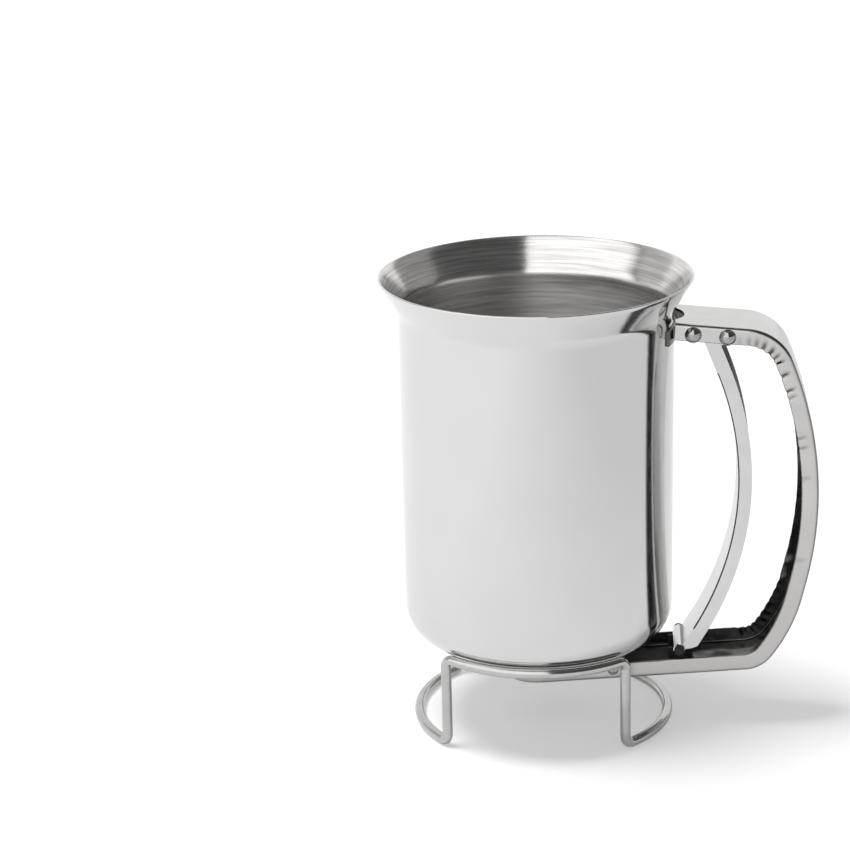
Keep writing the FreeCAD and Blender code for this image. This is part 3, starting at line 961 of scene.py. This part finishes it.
@dataclass
class ChannelHandle:
    """The fixed handle: a U channel from the rim round to the valve, open towards the cup."""

    cup: Cup
    path: RoundedPath = RoundedPath(
        ((50.3, 157.5), (87.5, 154.5), (109.1, 102.6), (94.6, 39.6), (83.1, 23.7), (0.0, 16.74)),
        (18.7, 141.3, 64.8, 12.6),
    )
    half_width: float = 13.6
    flange: float = 6.2
    sheet: float = 1.0
    corner_outside: float = 1.3
    corner_inside: float = 0.5
    end_centre: float = 1.0
    tip_chamfer: float = 0.25
    step: float = 0.6
    arc_steps: int = 6
    flat_steps: int = 8
    round_end_steps: int = 36
    # Strength of the painted shade line along the bent corners and cut edges.
    painted_edge_line: float = 0.8
    crisp_degrees: float = 40.0
    notch_x: float = 43.3
    notch_radius: float = 10.3
    notch_span: Flat = (154.0, 160.0)
    outlet_radius: float = 8.0
    outlet_span: Flat = (-2.0, 2.5)
    room_round_cup: float = 0.95
    bends: tuple[Flat, ...] = ((20.0, 64.0), (138.0, 182.0))
    fold_lean: float = 0.9
    fold_sink: float = 0.35
    fold_reach: float = 4.0
    near_pleats: tuple[Pleat, ...] = (
        Pleat(23.0, 0.18, 1.3),
        Pleat(26.6, 0.30, 1.3),
        Pleat(30.2, 0.42, 1.3),
        Pleat(34.0, 0.62, 1.2),
        Pleat(38.4, 0.90, 1.15),
        Pleat(41.9, 0.60, 1.0),
        Pleat(45.4, 0.95, 1.0),
        Pleat(51.6, 0.75, 0.8),
        Pleat(57.9, 0.70, 0.7),
        Pleat(60.6, 0.45, 0.6),
        Pleat(77.0, 0.35, 0.7),
        Pleat(81.0, 0.40, 0.7),
        Pleat(93.0, 0.20, 0.8),
        Pleat(126.0, 0.18, 0.9),
    )

    def far_pleats(self) -> list[Pleat]:
        """The far flange's folds, deep and close in the bends, shallow and far apart between them.

        Returns:
            The folds in order.
        """
        dice = random.Random(7)
        depths = {True: (0.35, 0.8), False: (0.05, 0.25)}
        gaps = {True: (2.8, 4.4), False: (4.0, 9.0)}
        made = []
        distance, end = 20.0, 190.0
        while distance < end:
            bent = any(low < distance < high for low, high in self.bends)
            depth = dice.uniform(*depths[bent])
            made.append(Pleat(distance, depth, dice.uniform(0.8, 1.5)))
            distance += dice.uniform(*gaps[bent])
        return made

    def section(self) -> tuple[list[Flat], list[Flat]]:
        """The U section's outer and inner line, from the left flange's tip to the right one's.

        Returns:
            Two lists of (sideways, depth) points of the same length.
        """
        top, steps = self.flange - self.tip_chamfer, self.flat_steps
        lines = []
        for half, floor, bend, chamfer in (
            (self.half_width, 0.0, self.corner_outside, -self.tip_chamfer),
            (self.half_width - self.sheet, self.sheet, self.corner_inside, self.tip_chamfer),
        ):
            right = [(half + chamfer, self.flange)]
            right += [(half, top - (top - floor - bend) * k / steps) for k in range(steps)]
            right += arc_points((half - bend, floor + bend), bend, 0.0, -90.0, self.arc_steps)
            right += [((half - bend) * (1 - k / steps), floor) for k in range(1, steps + 1)]
            lines.append([(-y, depth) for y, depth in right] + right[-2::-1])
        return lines[0], lines[1]

    def painted_corner_line(self, y: float, depth: float) -> float:
        """How strongly a section point lies on the painted dark line along a bent corner or a cut edge, a
        painted shade standing in for the dark reflection there.

        Args:
            y: Its sideways place.
            depth: Its depth from the web's outer face.

        Returns:
            The line's strength, from 0 to 1.
        """
        out = self.corner_outside
        if depth >= self.flange - 0.01:
            return self.painted_edge_line
        across = (abs(y) - (self.half_width - out)) / out
        down = (out - depth) / out
        if across <= 0.0 or down <= 0.0:
            return 0.0
        return self.painted_edge_line * min(1.0, 2.0 * across * down) ** 4

    def pressed(
        self, distance: float, y: float, depth: float, pleats: dict[int, Sequence[Pleat]]
    ) -> tuple[Flat, float]:
        """A section point, pushed in by the folds.

        Args:
            distance: How far along the handle it is.
            y: Its sideways place.
            depth: Its depth from the web's outer face.
            pleats: The folds of the near flange, under -1, and of the far one, under 1.

        Returns:
            The new (sideways, depth) point and the strength of its painted shade, from the fold and from the
            painted corner and edge line, from 0 to 1.
        """
        side = -1 if y < 0 else 1
        reach = (depth - self.corner_outside) / (self.flange - self.corner_outside)
        # Painted shade along the bent corners and cut edges.
        line = self.painted_corner_line(y, depth)
        if reach <= 0.0 or abs(y) < self.half_width - 1.5 * self.sheet:
            return (y, depth), line
        ramp = reach * reach * (3.0 - 2.0 * reach)
        push = crease = 0.0
        for pleat in pleats[side]:
            if abs(distance - pleat.distance) < self.fold_reach * pleat.half_length:
                share = pleat.share(distance, self.fold_lean * (reach - 0.5))
                push += pleat.depth * share
                # Painted shade: the deeper the fold, the darker it is painted, standing in for the dark
                # reflections in it.
                crease = max(crease, share * min(1.0, pleat.depth * 1.4))
        folded = (y - side * push * ramp, depth - self.fold_sink * push * ramp)
        return folded, max(line, crease * min(1.0, 1.5 * ramp))

    def build(self) -> None:
        """Sweep the channel, add its round end, cut its openings and dress it."""
        skin = Skin()
        pleats: dict[int, Sequence[Pleat]] = {-1: self.near_pleats, 1: self.far_pleats()}
        outer, inner = self.section()
        count = len(outer)
        # Inner faces take coat 1, the painted shade of the channel's hollow.
        coats = [0] * count + [1] * (count - 1) + [0]
        painted_shades: list[float] = []
        rows = []
        stations = self.path.stations(self.step, self.end_centre)
        for station in stations:
            row = []
            for y, depth in outer + inner[::-1]:
                (y, depth), crease = self.pressed(station.distance, y, depth, pleats)
                x, z = station.inward(depth)
                row.append((x, y, z))
                painted_shades.append(crease)
            rows.append(skin.ring(row))
        for a, b in zip(rows, rows[1:]):
            skin.bridge(a, b, True, coats)
        first = rows[0]
        for k in range(count - 1):
            skin.face((first[k], first[2 * count - 1 - k], first[2 * count - 2 - k], first[k + 1]))
        self.add_round_end(skin, stations[-1], outer, inner, painted_shades)
        known = kdtree.KDTree(len(skin.points))
        for index, point in enumerate(skin.points):
            known.insert(Vector(point) * MM, index)
        known.balance()
        piece = skin.build("handle_channel", [CHANNEL_OUTSIDE, CHANNEL_INSIDE_PAINTED_SHADE], self.crisp_degrees)
        carve(piece, self.cutters())
        smooth(piece.data, self.crisp_degrees)
        # Each point carries the strength of its painted shade from the folds and the corner and edge line,
        # which the outside finish reads.
        attribute = piece.data.attributes.new("crease", "FLOAT", "POINT")
        for vertex, value in zip(piece.data.vertices, attribute.data):
            value.value = painted_shades[known.find(vertex.co)[1]]
        place_piece(piece, Body.DISPENSER, "handle_steel", "outer_handle")

    def add_round_end(
        self, skin: Skin, last: Station, outer: Sequence[Flat], inner: Sequence[Flat], painted_shades: list[float]
    ) -> None:
        """Close the channel with half a turn of its own section.

        Args:
            skin: The channel's skin so far.
            last: The channel's last place.
            outer: The section's outer line.
            inner: The section's inner line.
            painted_shades: The painted shade values of the points so far, which grow with the skin.
        """
        middle = len(outer) // 2
        half = list(outer[middle:]) + list(inner[middle:])[::-1]
        side = len(outer) - middle
        # Inner faces take coat 1, the painted shade of the channel's hollow.
        coats = [0] * side + [1] * (side - 1)
        rows = []
        for k in range(self.round_end_steps + 1):
            turn = math.pi * k / self.round_end_steps
            row = []
            for reach, depth in half:
                x, z = last.inward(depth)
                ahead = reach * math.sin(turn)
                row.append((x + last.along_x * ahead, reach * math.cos(turn), z + last.along_z * ahead))
                painted_shades.append(0.0)
            rows.append(skin.ring(row))
        for a, b in zip(rows, rows[1:]):
            skin.bridge(a, b, False, coats)

    def cutters(self) -> list[bpy.types.Object]:
        """Solids for the cup's side, the notch at the cup and the hole under the outlet.

        Returns:
            The three solids.
        """
        notch = round_solid(self.notch_radius, self.notch_span, 72)
        notch.points = [(x + self.notch_x, y, z) for x, y, z in notch.points]
        before, foot = self.path.corners[-2:]
        slope = math.atan2(before[1] - foot[1], before[0])
        hole = round_solid(self.outlet_radius, self.outlet_span, 96)
        tilt = Matrix.Rotation(-slope, 3, "Y")
        shift = Vector((foot[0], 0.0, foot[1]))
        hole.points = [tuple(tilt @ Vector(p) + shift) for p in hole.points]
        room = self.cup.envelope(self.room_round_cup)
        return [room, notch.build("end_notch", []), hole.build("outlet_hole", [])]


# Lever, rivets and spring


@dataclass
class SqueezeLever:
    """The squeeze lever with its cross pin and the pin's two black caps."""

    pin: Flat = (52.75, 29.5)
    pin_reach: float = 11.4
    cap_radius: float = 1.9
    cap_bore: float = 1.32
    cap_rim: float = 0.25
    cap_dome: float = 0.7
    cap_start: float = 9.55
    cap_end: float = 12.0
    half_width_top: float = 12.3
    half_width_foot: float = 9.4
    taper_top_z: float = 156.0
    taper_foot_z: float = 28.0
    marked_span: Flat = (31.5, 148.0)
    marked_mm: float = 0.5
    edge_mm: float = 0.3
    corner_gap: float = 0.1
    flange_band: Flat = (0.25, 0.75)

    def half_width(self, z: float) -> float:
        """Half the channel's width at a height."""
        share = (z - self.taper_foot_z) / (self.taper_top_z - self.taper_foot_z)
        return self.half_width_foot + (self.half_width_top - self.half_width_foot) * share

    def inside(self, middle: Vector, normal: Vector) -> bool:
        """Whether a face of the lever belongs to the inside of its channel, which is painted darker as shade.

        Args:
            middle: The face's middle, in millimetres.
            normal: Its normal.

        Returns:
            Whether it does.
        """
        half = self.half_width(middle.z)
        least, most = self.flange_band
        if abs(middle.y) > half - most:
            return abs(middle.y) < half - least and normal.y * middle.y < -0.5 * abs(middle.y)
        return normal.x > 0.2 or abs(normal.y) > 0.7

    def mark_corners(self) -> None:
        """Give the corners between web and flanges a bevel weight, so that they get a wider rounding in the
        near-black painted edge shade.
        """
        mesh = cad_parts["squeeze_lever"].data

        def line(ends: Iterable[int]) -> frozenset[Point]:
            """The places of an edge's two ends, in thousandths of a millimetre at the finest."""
            return frozenset(tuple(round(c / MM, 3) for c in mesh.vertices[index].co) for index in ends)

        def on_corner(ends: frozenset[Point]) -> bool:
            """Whether both ends lie on the same outer corner of the channel."""
            low, high = self.marked_span
            edge = self.corner_gap
            outer = all(low < z < high and abs(y) > self.half_width(z) - edge for x, y, z in ends)
            return outer and len({y > 0.0 for x, y, z in ends}) == 1

        corners = {line(key) for face in mesh.polygons if face.normal.x < -0.3 for key in face.edge_keys}
        weights = mesh.attributes.new("bevel_weight_edge", "FLOAT", "EDGE")
        for edge in mesh.edges:
            ends = line(edge.vertices)
            if ends in corners and on_corner(ends):
                weights.data[edge.index].value = 1.0

    def build(self) -> None:
        """Dress the lever and the pin, and turn the caps."""
        self.mark_corners()
        # Painted shade: the lever's rounded edges and corners take a near-black finish, standing in for the
        # dark reflections along them, and its inside faces a darker finish, standing in for the shade in the
        # channel.
        edges = (self.edge_mm, PAINTED_EDGE_SHADE)
        keep_node("squeeze_lever", LEVER_STEEL, *edges, self.inside, LEVER_INSIDE_PAINTED_SHADE, self.marked_mm)
        keep_node("drive_pin", RIVET_STEEL, 0.2)
        for side, name in ((-1, "front"), (1, "back")):
            piece = laid_across(self.cap(side), self.pin).build(f"pin_button_{name}", [BLACK_PLASTIC], 60.0)
            place_piece(piece, Body.LEVER, "black_plastic", f"pin_cap_{name}")

    def cap(self, side: int) -> Skin:
        """One cap with a softly domed end.

        Args:
            side: -1 for the near one, 1 for the far one.

        Returns:
            The cap, turned about Z.
        """
        start, end, radius = self.cap_start, self.cap_end, self.cap_radius
        rim, dome = self.cap_rim, self.cap_dome
        pin_end = self.pin_reach + 0.02
        profile = [(self.cap_bore, start), (radius - rim, start), (radius, start + rim)]
        profile += arc_points((radius - dome, end - dome), dome, 0.0, 90.0, 6)
        profile += [(NEAR_AXIS, end), (NEAR_AXIS, pin_end), (self.cap_bore, pin_end)]
        return turned([(r, side * z) for r, z in profile], [0] * len(profile), 40)


@dataclass
class Rivet:
    """A rivet through both flanges, with a domed head outside each."""

    name: str
    place: Flat
    shank: float = 1.4
    head: float = 3.0
    dome: float = 2.0
    face_y: float = 13.6
    edge_height: float = 0.25
    steps: int = 56

    def build(self) -> None:
        """Turn the rivet and lay it across the handle."""
        ball = (self.head ** 2 + self.dome ** 2) / (2.0 * self.dome)
        middle = self.face_y + self.dome - ball
        low = math.degrees(math.asin((self.face_y + self.edge_height - middle) / ball))
        side = [(self.shank, self.face_y), (self.head - 0.12, self.face_y), (self.head, self.face_y + 0.1)]
        side += [(r, z) for r, z in arc_points((0.0, middle), ball, low, 90.0, 14) if r <= self.head]
        side[-1] = (NEAR_AXIS, side[-1][1])
        profile = side + [(r, -z) for r, z in reversed(side)]
        count = len(profile)
        # Coat 1 is painted shade: a near-black ring at each head's rim, standing in for the contact shadow
        # against the flange.
        coats = [1 if k < 3 or count - 5 < k < count - 1 else 0 for k in range(count)]
        skin = laid_across(turned(profile, coats, self.steps), self.place)
        piece = skin.build(f"{self.name}_domed", [RIVET_STEEL, PAINTED_EDGE_SHADE], 60.0)
        place_piece(piece, Body.DISPENSER, "rivet_steel", self.name)


@dataclass
class ReturnSpring:
    """The return spring round the pivot, with one leg on the handle and one on the lever."""

    pivot: Flat = (68.7, 152.35)
    coil_radius: float = 1.95
    wire_radius: float = 0.35
    turns: int = 10
    pitch: float = 1.2
    fixed_leg: float = 6.0
    lever_leg: float = 8.6
    lever_leg_angle: float = 252.5
    slope: Flat = (37.2, -3.0)
    steps_per_turn: int = 28
    fixed_steps: int = 4
    lever_steps: int = 5

    def point(self, turn: float) -> Vector:
        """A point on the coil.

        Args:
            turn: How many turns it lies after the handle's leg.

        Returns:
            The point, in millimetres.
        """
        angle = self.angle(turn)
        y = (self.turns / 2 - turn) * self.pitch
        return Vector((
            self.pivot[0] + self.coil_radius * math.cos(angle),
            y,
            self.pivot[1] + self.coil_radius * math.sin(angle),
        ))

    def angle(self, turn: float) -> float:
        """The angle round the pivot after some turns from the handle's leg."""
        return math.atan2(self.slope[0], -self.slope[1]) + 2.0 * math.pi * turn

    def heading(self, turn: float) -> Vector:
        """The wire's direction on the coil.

        Args:
            turn: How many turns the place lies after the handle's leg.

        Returns:
            The unit direction.
        """
        speed = 2.0 * math.pi * self.coil_radius
        angle = self.angle(turn)
        return Vector((-speed * math.sin(angle), -self.pitch, speed * math.cos(angle))).normalized()

    def build(self) -> None:
        """Wind the spring between the handle and the lever."""
        leg_angle = math.radians(self.lever_leg_angle) - math.pi / 2
        last = self.turns + (leg_angle - self.angle(0.0)) / (2.0 * math.pi)
        count = self.fixed_steps
        path = [self.point(0.0) - self.heading(0.0) * self.fixed_leg * (1 - k / count) for k in range(count)]
        steps = self.turns * self.steps_per_turn
        path += [self.point(last * k / steps) for k in range(steps + 1)]
        count = self.lever_steps
        end, leg = self.point(last), self.heading(last) * self.lever_leg
        path += [end + leg * k / count for k in range(1, count + 1)]
        piece = tube(path, self.wire_radius, 12, False).build("return_coil", [SPRING_STEEL], 60.0)
        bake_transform(piece)
        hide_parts("return_spring")
        log.info("%s built, %d faces, twists between two bodies", piece.name, len(piece.data.polygons))


# Valve, brackets and stand


@dataclass
class ValveAndBrackets:
    """The outlet, the sliding valve under it, and the brackets that carry the handle."""

    def build(self) -> None:
        """Dress each piece."""
        keep_node("outlet_tube", VALVE_STEEL, 0.15)
        keep_node("slide_bar", BLACK_PLASTIC, 0.3)
        keep_node("seal_dish", VALVE_STEEL, 0.1)
        keep_node("seal_disc", SEAL_RUBBER, 0.25)
        # Painted shade: the brackets sit inside the channel and take steel darkened to near black, standing
        # in for the shade there.
        keep_node("top_bracket", BRACKET_PAINTED_SHADE, 0.15)
        keep_node("saddle_bracket", BRACKET_PAINTED_SHADE, 0.15)


@dataclass
class WireStand:
    """The stand: one closed wire of four arcs and four legs."""

    wire_radius: float = 1.9
    top_radius: float = 48.0
    top_z: float = 36.4
    leg_x: float = 32.7
    foot_y: float = 33.2
    reach_left: float = 45.9
    reach_right: float = 48.5
    setback: float = 3.4
    arc_steps: int = 44
    bend_steps: int = 10
    leg_steps: int = 12

    def route(self) -> list[Vector]:
        """The wire's centre line, once round.

        Returns:
            Its points, in millimetres.
        """
        top_spread = math.asin(self.leg_x / self.top_radius) - self.setback / self.top_radius
        arcs = [(0.0, self.top_radius, self.top_z, -0.5 * math.pi, top_spread)]
        for side, reach in ((1, self.reach_right), (-1, self.reach_left)):
            depth = reach - self.leg_x
            radius = (self.foot_y ** 2 + depth ** 2) / (2.0 * depth)
            spread = math.asin(self.foot_y / radius) - self.setback / radius
            middle = 0.5 * math.pi * (1 - side)
            arcs.append((side * (reach - radius), radius, self.wire_radius, middle, spread))
            if side > 0:
                arcs.append((0.0, self.top_radius, self.top_z, 0.5 * math.pi, top_spread))
        path: list[Vector] = []
        for arc, following in zip(arcs, arcs[1:] + arcs[:1]):
            path += [self.on_arc(arc, -1.0 + 2.0 * k / self.arc_steps) for k in range(self.arc_steps + 1)]
            leave = self.on_arc(arc, 1.0) + self.heading(arc, 1.0) * self.setback
            arrive = self.on_arc(following, -1.0) - self.heading(following, -1.0) * self.setback
            leg = (arrive - leave).normalized()
            path += fillet(leave, self.heading(arc, 1.0), leg, self.setback, self.bend_steps)[1:]
            low, high = leave + leg * self.setback, arrive - leg * self.setback
            path += [low.lerp(high, k / self.leg_steps) for k in range(1, self.leg_steps)]
            path += fillet(arrive, leg, self.heading(following, -1.0), self.setback, self.bend_steps)[:-1]
        return path

    def on_arc(self, arc: tuple[float, ...], share: float) -> Vector:
        """A point on one of the four arcs.

        Args:
            arc: The arc's centre along x, radius, height, middle angle and half angle.
            share: Where on it, from -1 at its start to 1 at its end.

        Returns:
            The point.
        """
        centre_x, radius, z, middle, spread = arc
        angle = middle + share * spread
        return Vector((centre_x + radius * math.cos(angle), radius * math.sin(angle), z))

    def heading(self, arc: tuple[float, ...], share: float) -> Vector:
        """The direction of travel on an arc."""
        angle = arc[3] + share * arc[4]
        return Vector((-math.sin(angle), math.cos(angle), 0.0))

    def build(self) -> None:
        """Bend the wire and dress it."""
        piece = tube(self.route(), self.wire_radius, 28, True).build("stand_bent_wire", [WIRE_STEEL], 60.0)
        place_piece(piece, Body.STAND, "wire_steel", "stand_wire")


# Studio


@dataclass(frozen=True)
class SkyPanel:
    """A panel of the studio's sky that only shows in reflections: a patch of a large sphere round the cup.

    Azimuths count from the front to the right, and elevations up from level, both in degrees.
    """

    name: str
    azimuths: Flat
    elevations: Flat
    strength: float
    distance: float = 2400.0
    centre_z: float = 150.0
    step_degrees: float = 6.0

    def build(self) -> None:
        """Hang the panel and let it glow."""
        skin = Skin()
        across = max(2, math.ceil((self.azimuths[1] - self.azimuths[0]) / self.step_degrees))
        upward = max(2, math.ceil((self.elevations[1] - self.elevations[0]) / self.step_degrees))
        rows = []
        for j in range(upward + 1):
            rise = math.radians(self.elevations[0] + (self.elevations[1] - self.elevations[0]) * j / upward)
            row = []
            for k in range(across + 1):
                turn = math.radians(self.azimuths[0] + (self.azimuths[1] - self.azimuths[0]) * k / across)
                reach = self.distance * math.cos(rise)
                height = self.centre_z + self.distance * math.sin(rise)
                row.append((reach * math.sin(turn), -reach * math.cos(turn), height))
            rows.append(skin.ring(row))
        for low, high in zip(rows, rows[1:]):
            skin.bridge(low, high, False)
        panel = skin.build(self.name, [])
        panel.data.materials.append(new_material(self.name, self.glow))
        panel.visible_camera = False
        panel.visible_diffuse = False
        panel.visible_transmission = False
        panel.visible_shadow = False
        log.info("panel %s", self.name)

    def glow(self, maker: NodeMaker) -> Signal:
        """The panel's even glow."""
        return maker.value("ShaderNodeEmission", {}, {"Color": (*[self.strength] * 3, 1.0), "Strength": 1.0})


@dataclass
class Studio:
    """A white room: a pale floor that keeps the shadow, even light and one soft sun."""

    floor_albedo: float = 0.8
    floor_violet: float = 0.992
    floor_reach: float = 9000.0
    floor_glow: float = 0.36
    room_light: float = 0.33
    sun_strength: float = 2.05
    sun_angle: float = 24.0
    sun_from: Point = (-0.28, -0.04, 1.0)
    floor_fall: float = 0.30
    floor_fall_start: float = -0.25
    floor_fall_reach: float = 0.6
    panels: tuple[SkyPanel, ...] = (
        SkyPanel("sky_ceiling", (-180.0, 180.0), (66.0, 90.0), 0.16),
        SkyPanel("sky_dark_front", (11.0, 100.0), (6.0, 65.0), 0.10),
        SkyPanel("sky_grey_right", (100.0, 140.0), (0.0, 65.0), 0.34),
        SkyPanel("sky_bright_front", (-88.0, 11.0), (6.0, 65.0), 1.55),
        SkyPanel("sky_dark_post", (-97.5, -93.0), (6.0, 60.0), 0.15),
        SkyPanel("sky_grey_left", (-128.0, -97.5), (6.0, 60.0), 0.62),
    )

    def seen_directly(self, maker: NodeMaker) -> Signal:
        """Which rays see the room as it is shown, apart from those that light the object.

        Args:
            maker: The tree's maker.

        Returns:
            1 for rays from the camera, from gloss or through glass, otherwise 0.
        """
        rays = maker.make("ShaderNodeLightPath", {}, {})
        camera, gloss, through = (
            Signal(maker.tree, rays.outputs[name])
            for name in ("Is Camera Ray", "Is Glossy Ray", "Is Transmission Ray")
        )
        return camera.math("MAXIMUM", camera, gloss.math("MAXIMUM", gloss, through))

    def build(self) -> None:
        """Build the floor, the room's light, the sun and the panels."""
        scene = bpy.context.scene
        scene.view_settings.view_transform = "Standard"
        world = bpy.data.worlds.new("white_room")
        scene.world = world
        world.use_nodes = True
        maker = NodeMaker(world.node_tree)
        light = maker.value("ShaderNodeBackground", {}, {"Color": (*WHITE, 1.0), "Strength": self.room_light})
        seen = maker.value("ShaderNodeBackground", {}, {"Color": (*WHITE, 1.0), "Strength": 1.0})
        both = maker.value("ShaderNodeMixShader", {}, {0: self.seen_directly(maker), 1: light, 2: seen})
        maker.make("ShaderNodeOutputWorld", {}, {"Surface": both})
        self.build_floor()
        self.build_sun()
        for panel in self.panels:
            panel.build()

    def build_floor(self) -> None:
        """Lay the pale floor: what light it misses of white, it glows, so that only the shadow darkens it."""
        skin = Skin()
        reach = self.floor_reach
        skin.face(skin.ring((x * reach, y * reach, 0.0) for x, y in ((-1, -1), (1, -1), (1, 1), (-1, 1))))
        floor = skin.build("studio_floor", [])
        floor.data.materials.append(new_material("floor_pale", self.floor_surface))

    def floor_surface(self, maker: NodeMaker) -> Signal:
        """The floor's shader, whose glow falls off to the right in reflections.

        Args:
            maker: The tree's maker.

        Returns:
            The shader.
        """
        tone = (self.floor_albedo, self.floor_albedo * self.floor_violet, self.floor_albedo, 1.0)
        matt = maker.value("ShaderNodeBsdfDiffuse", {}, {"Color": tone})
        x = maker.place()[0]
        share = (x - self.floor_fall_start) * (1.0 / self.floor_fall_reach)
        right = share.math("MAXIMUM", 0.0, share.math("MINIMUM", 1.0, share))
        rays = maker.make("ShaderNodeLightPath", {}, {})
        gloss = Signal(maker.tree, rays.outputs["Is Glossy Ray"])
        fall = 1.0 - gloss * right * self.floor_fall * (1.0 / self.floor_glow)
        strength = self.seen_directly(maker) * fall * self.floor_glow
        glow = maker.value("ShaderNodeEmission", {}, {"Color": (*WHITE, 1.0), "Strength": strength})
        return maker.value("ShaderNodeAddShader", {}, {0: matt, 1: glow})

    def build_sun(self) -> None:
        """Hang the soft sun, which gives the shadow but no hot spots on the steel."""
        data = bpy.data.lights.new("soft_sun", "SUN")
        data.energy = self.sun_strength
        data.angle = math.radians(self.sun_angle)
        sun = bpy.data.objects.new("soft_sun", data)
        sun.rotation_mode = "QUATERNION"
        sun.rotation_quaternion = Vector(self.sun_from).to_track_quat("Z", "Y")
        sun.visible_glossy = False
        bpy.context.scene.collection.objects.link(sun)


@dataclass(frozen=True)
class View:
    """The camera: where it stands, which way it looks, and its lens."""

    azimuth: float = 5.198
    elevation: float = 18.511
    roll: float = -1.462
    position: Point = (35.89, -849.6, 400.27)
    lens: float = 103.07
    sensor: float = 36.0
    sees_m: Flat = (0.05, 60.0)

    def build(self) -> None:
        """Set up the camera."""
        a, e, r = (math.radians(v) for v in (self.azimuth, self.elevation, self.roll))
        back = Vector((math.sin(a) * math.cos(e), -math.cos(a) * math.cos(e), math.sin(e)))
        level = Vector((math.cos(a), math.sin(a), 0.0))
        upright = back.cross(level)
        right = level * math.cos(r) + upright * math.sin(r)
        up = upright * math.cos(r) - level * math.sin(r)
        data = bpy.data.cameras.new("view")
        data.lens = self.lens
        data.sensor_width = self.sensor
        data.clip_start, data.clip_end = self.sees_m
        camera = bpy.data.objects.new("view", data)
        camera.matrix_world = Matrix.Translation(Vector(self.position) * MM) @ (
            Matrix((right, up, back)).transposed().to_4x4()
        )
        bpy.context.scene.collection.objects.link(camera)
        bpy.context.scene.camera = camera


def main() -> None:
    """Build every piece in order, then the room and the camera."""
    logging.basicConfig(level=logging.INFO, format="%(name)s: %(message)s")
    cup = Cup()
    makers: list[Callable[[], None]] = [
        View().build,
        Studio().build,
        cup.build,
        ChannelHandle(cup).build,
        SqueezeLever().build,
        Rivet("top_rivet", (56.5, 153.3)).build,
        Rivet("pivot_rivet", (68.7, 152.35)).build,
        Rivet("arm_rivet", (28.0, 22.8), 1.3, 2.0, 1.2).build,
        ReturnSpring().build,
        ValveAndBrackets().build,
        WireStand().build,
    ]
    for make in makers:
        make()


if __name__ == "__main__":
    main()
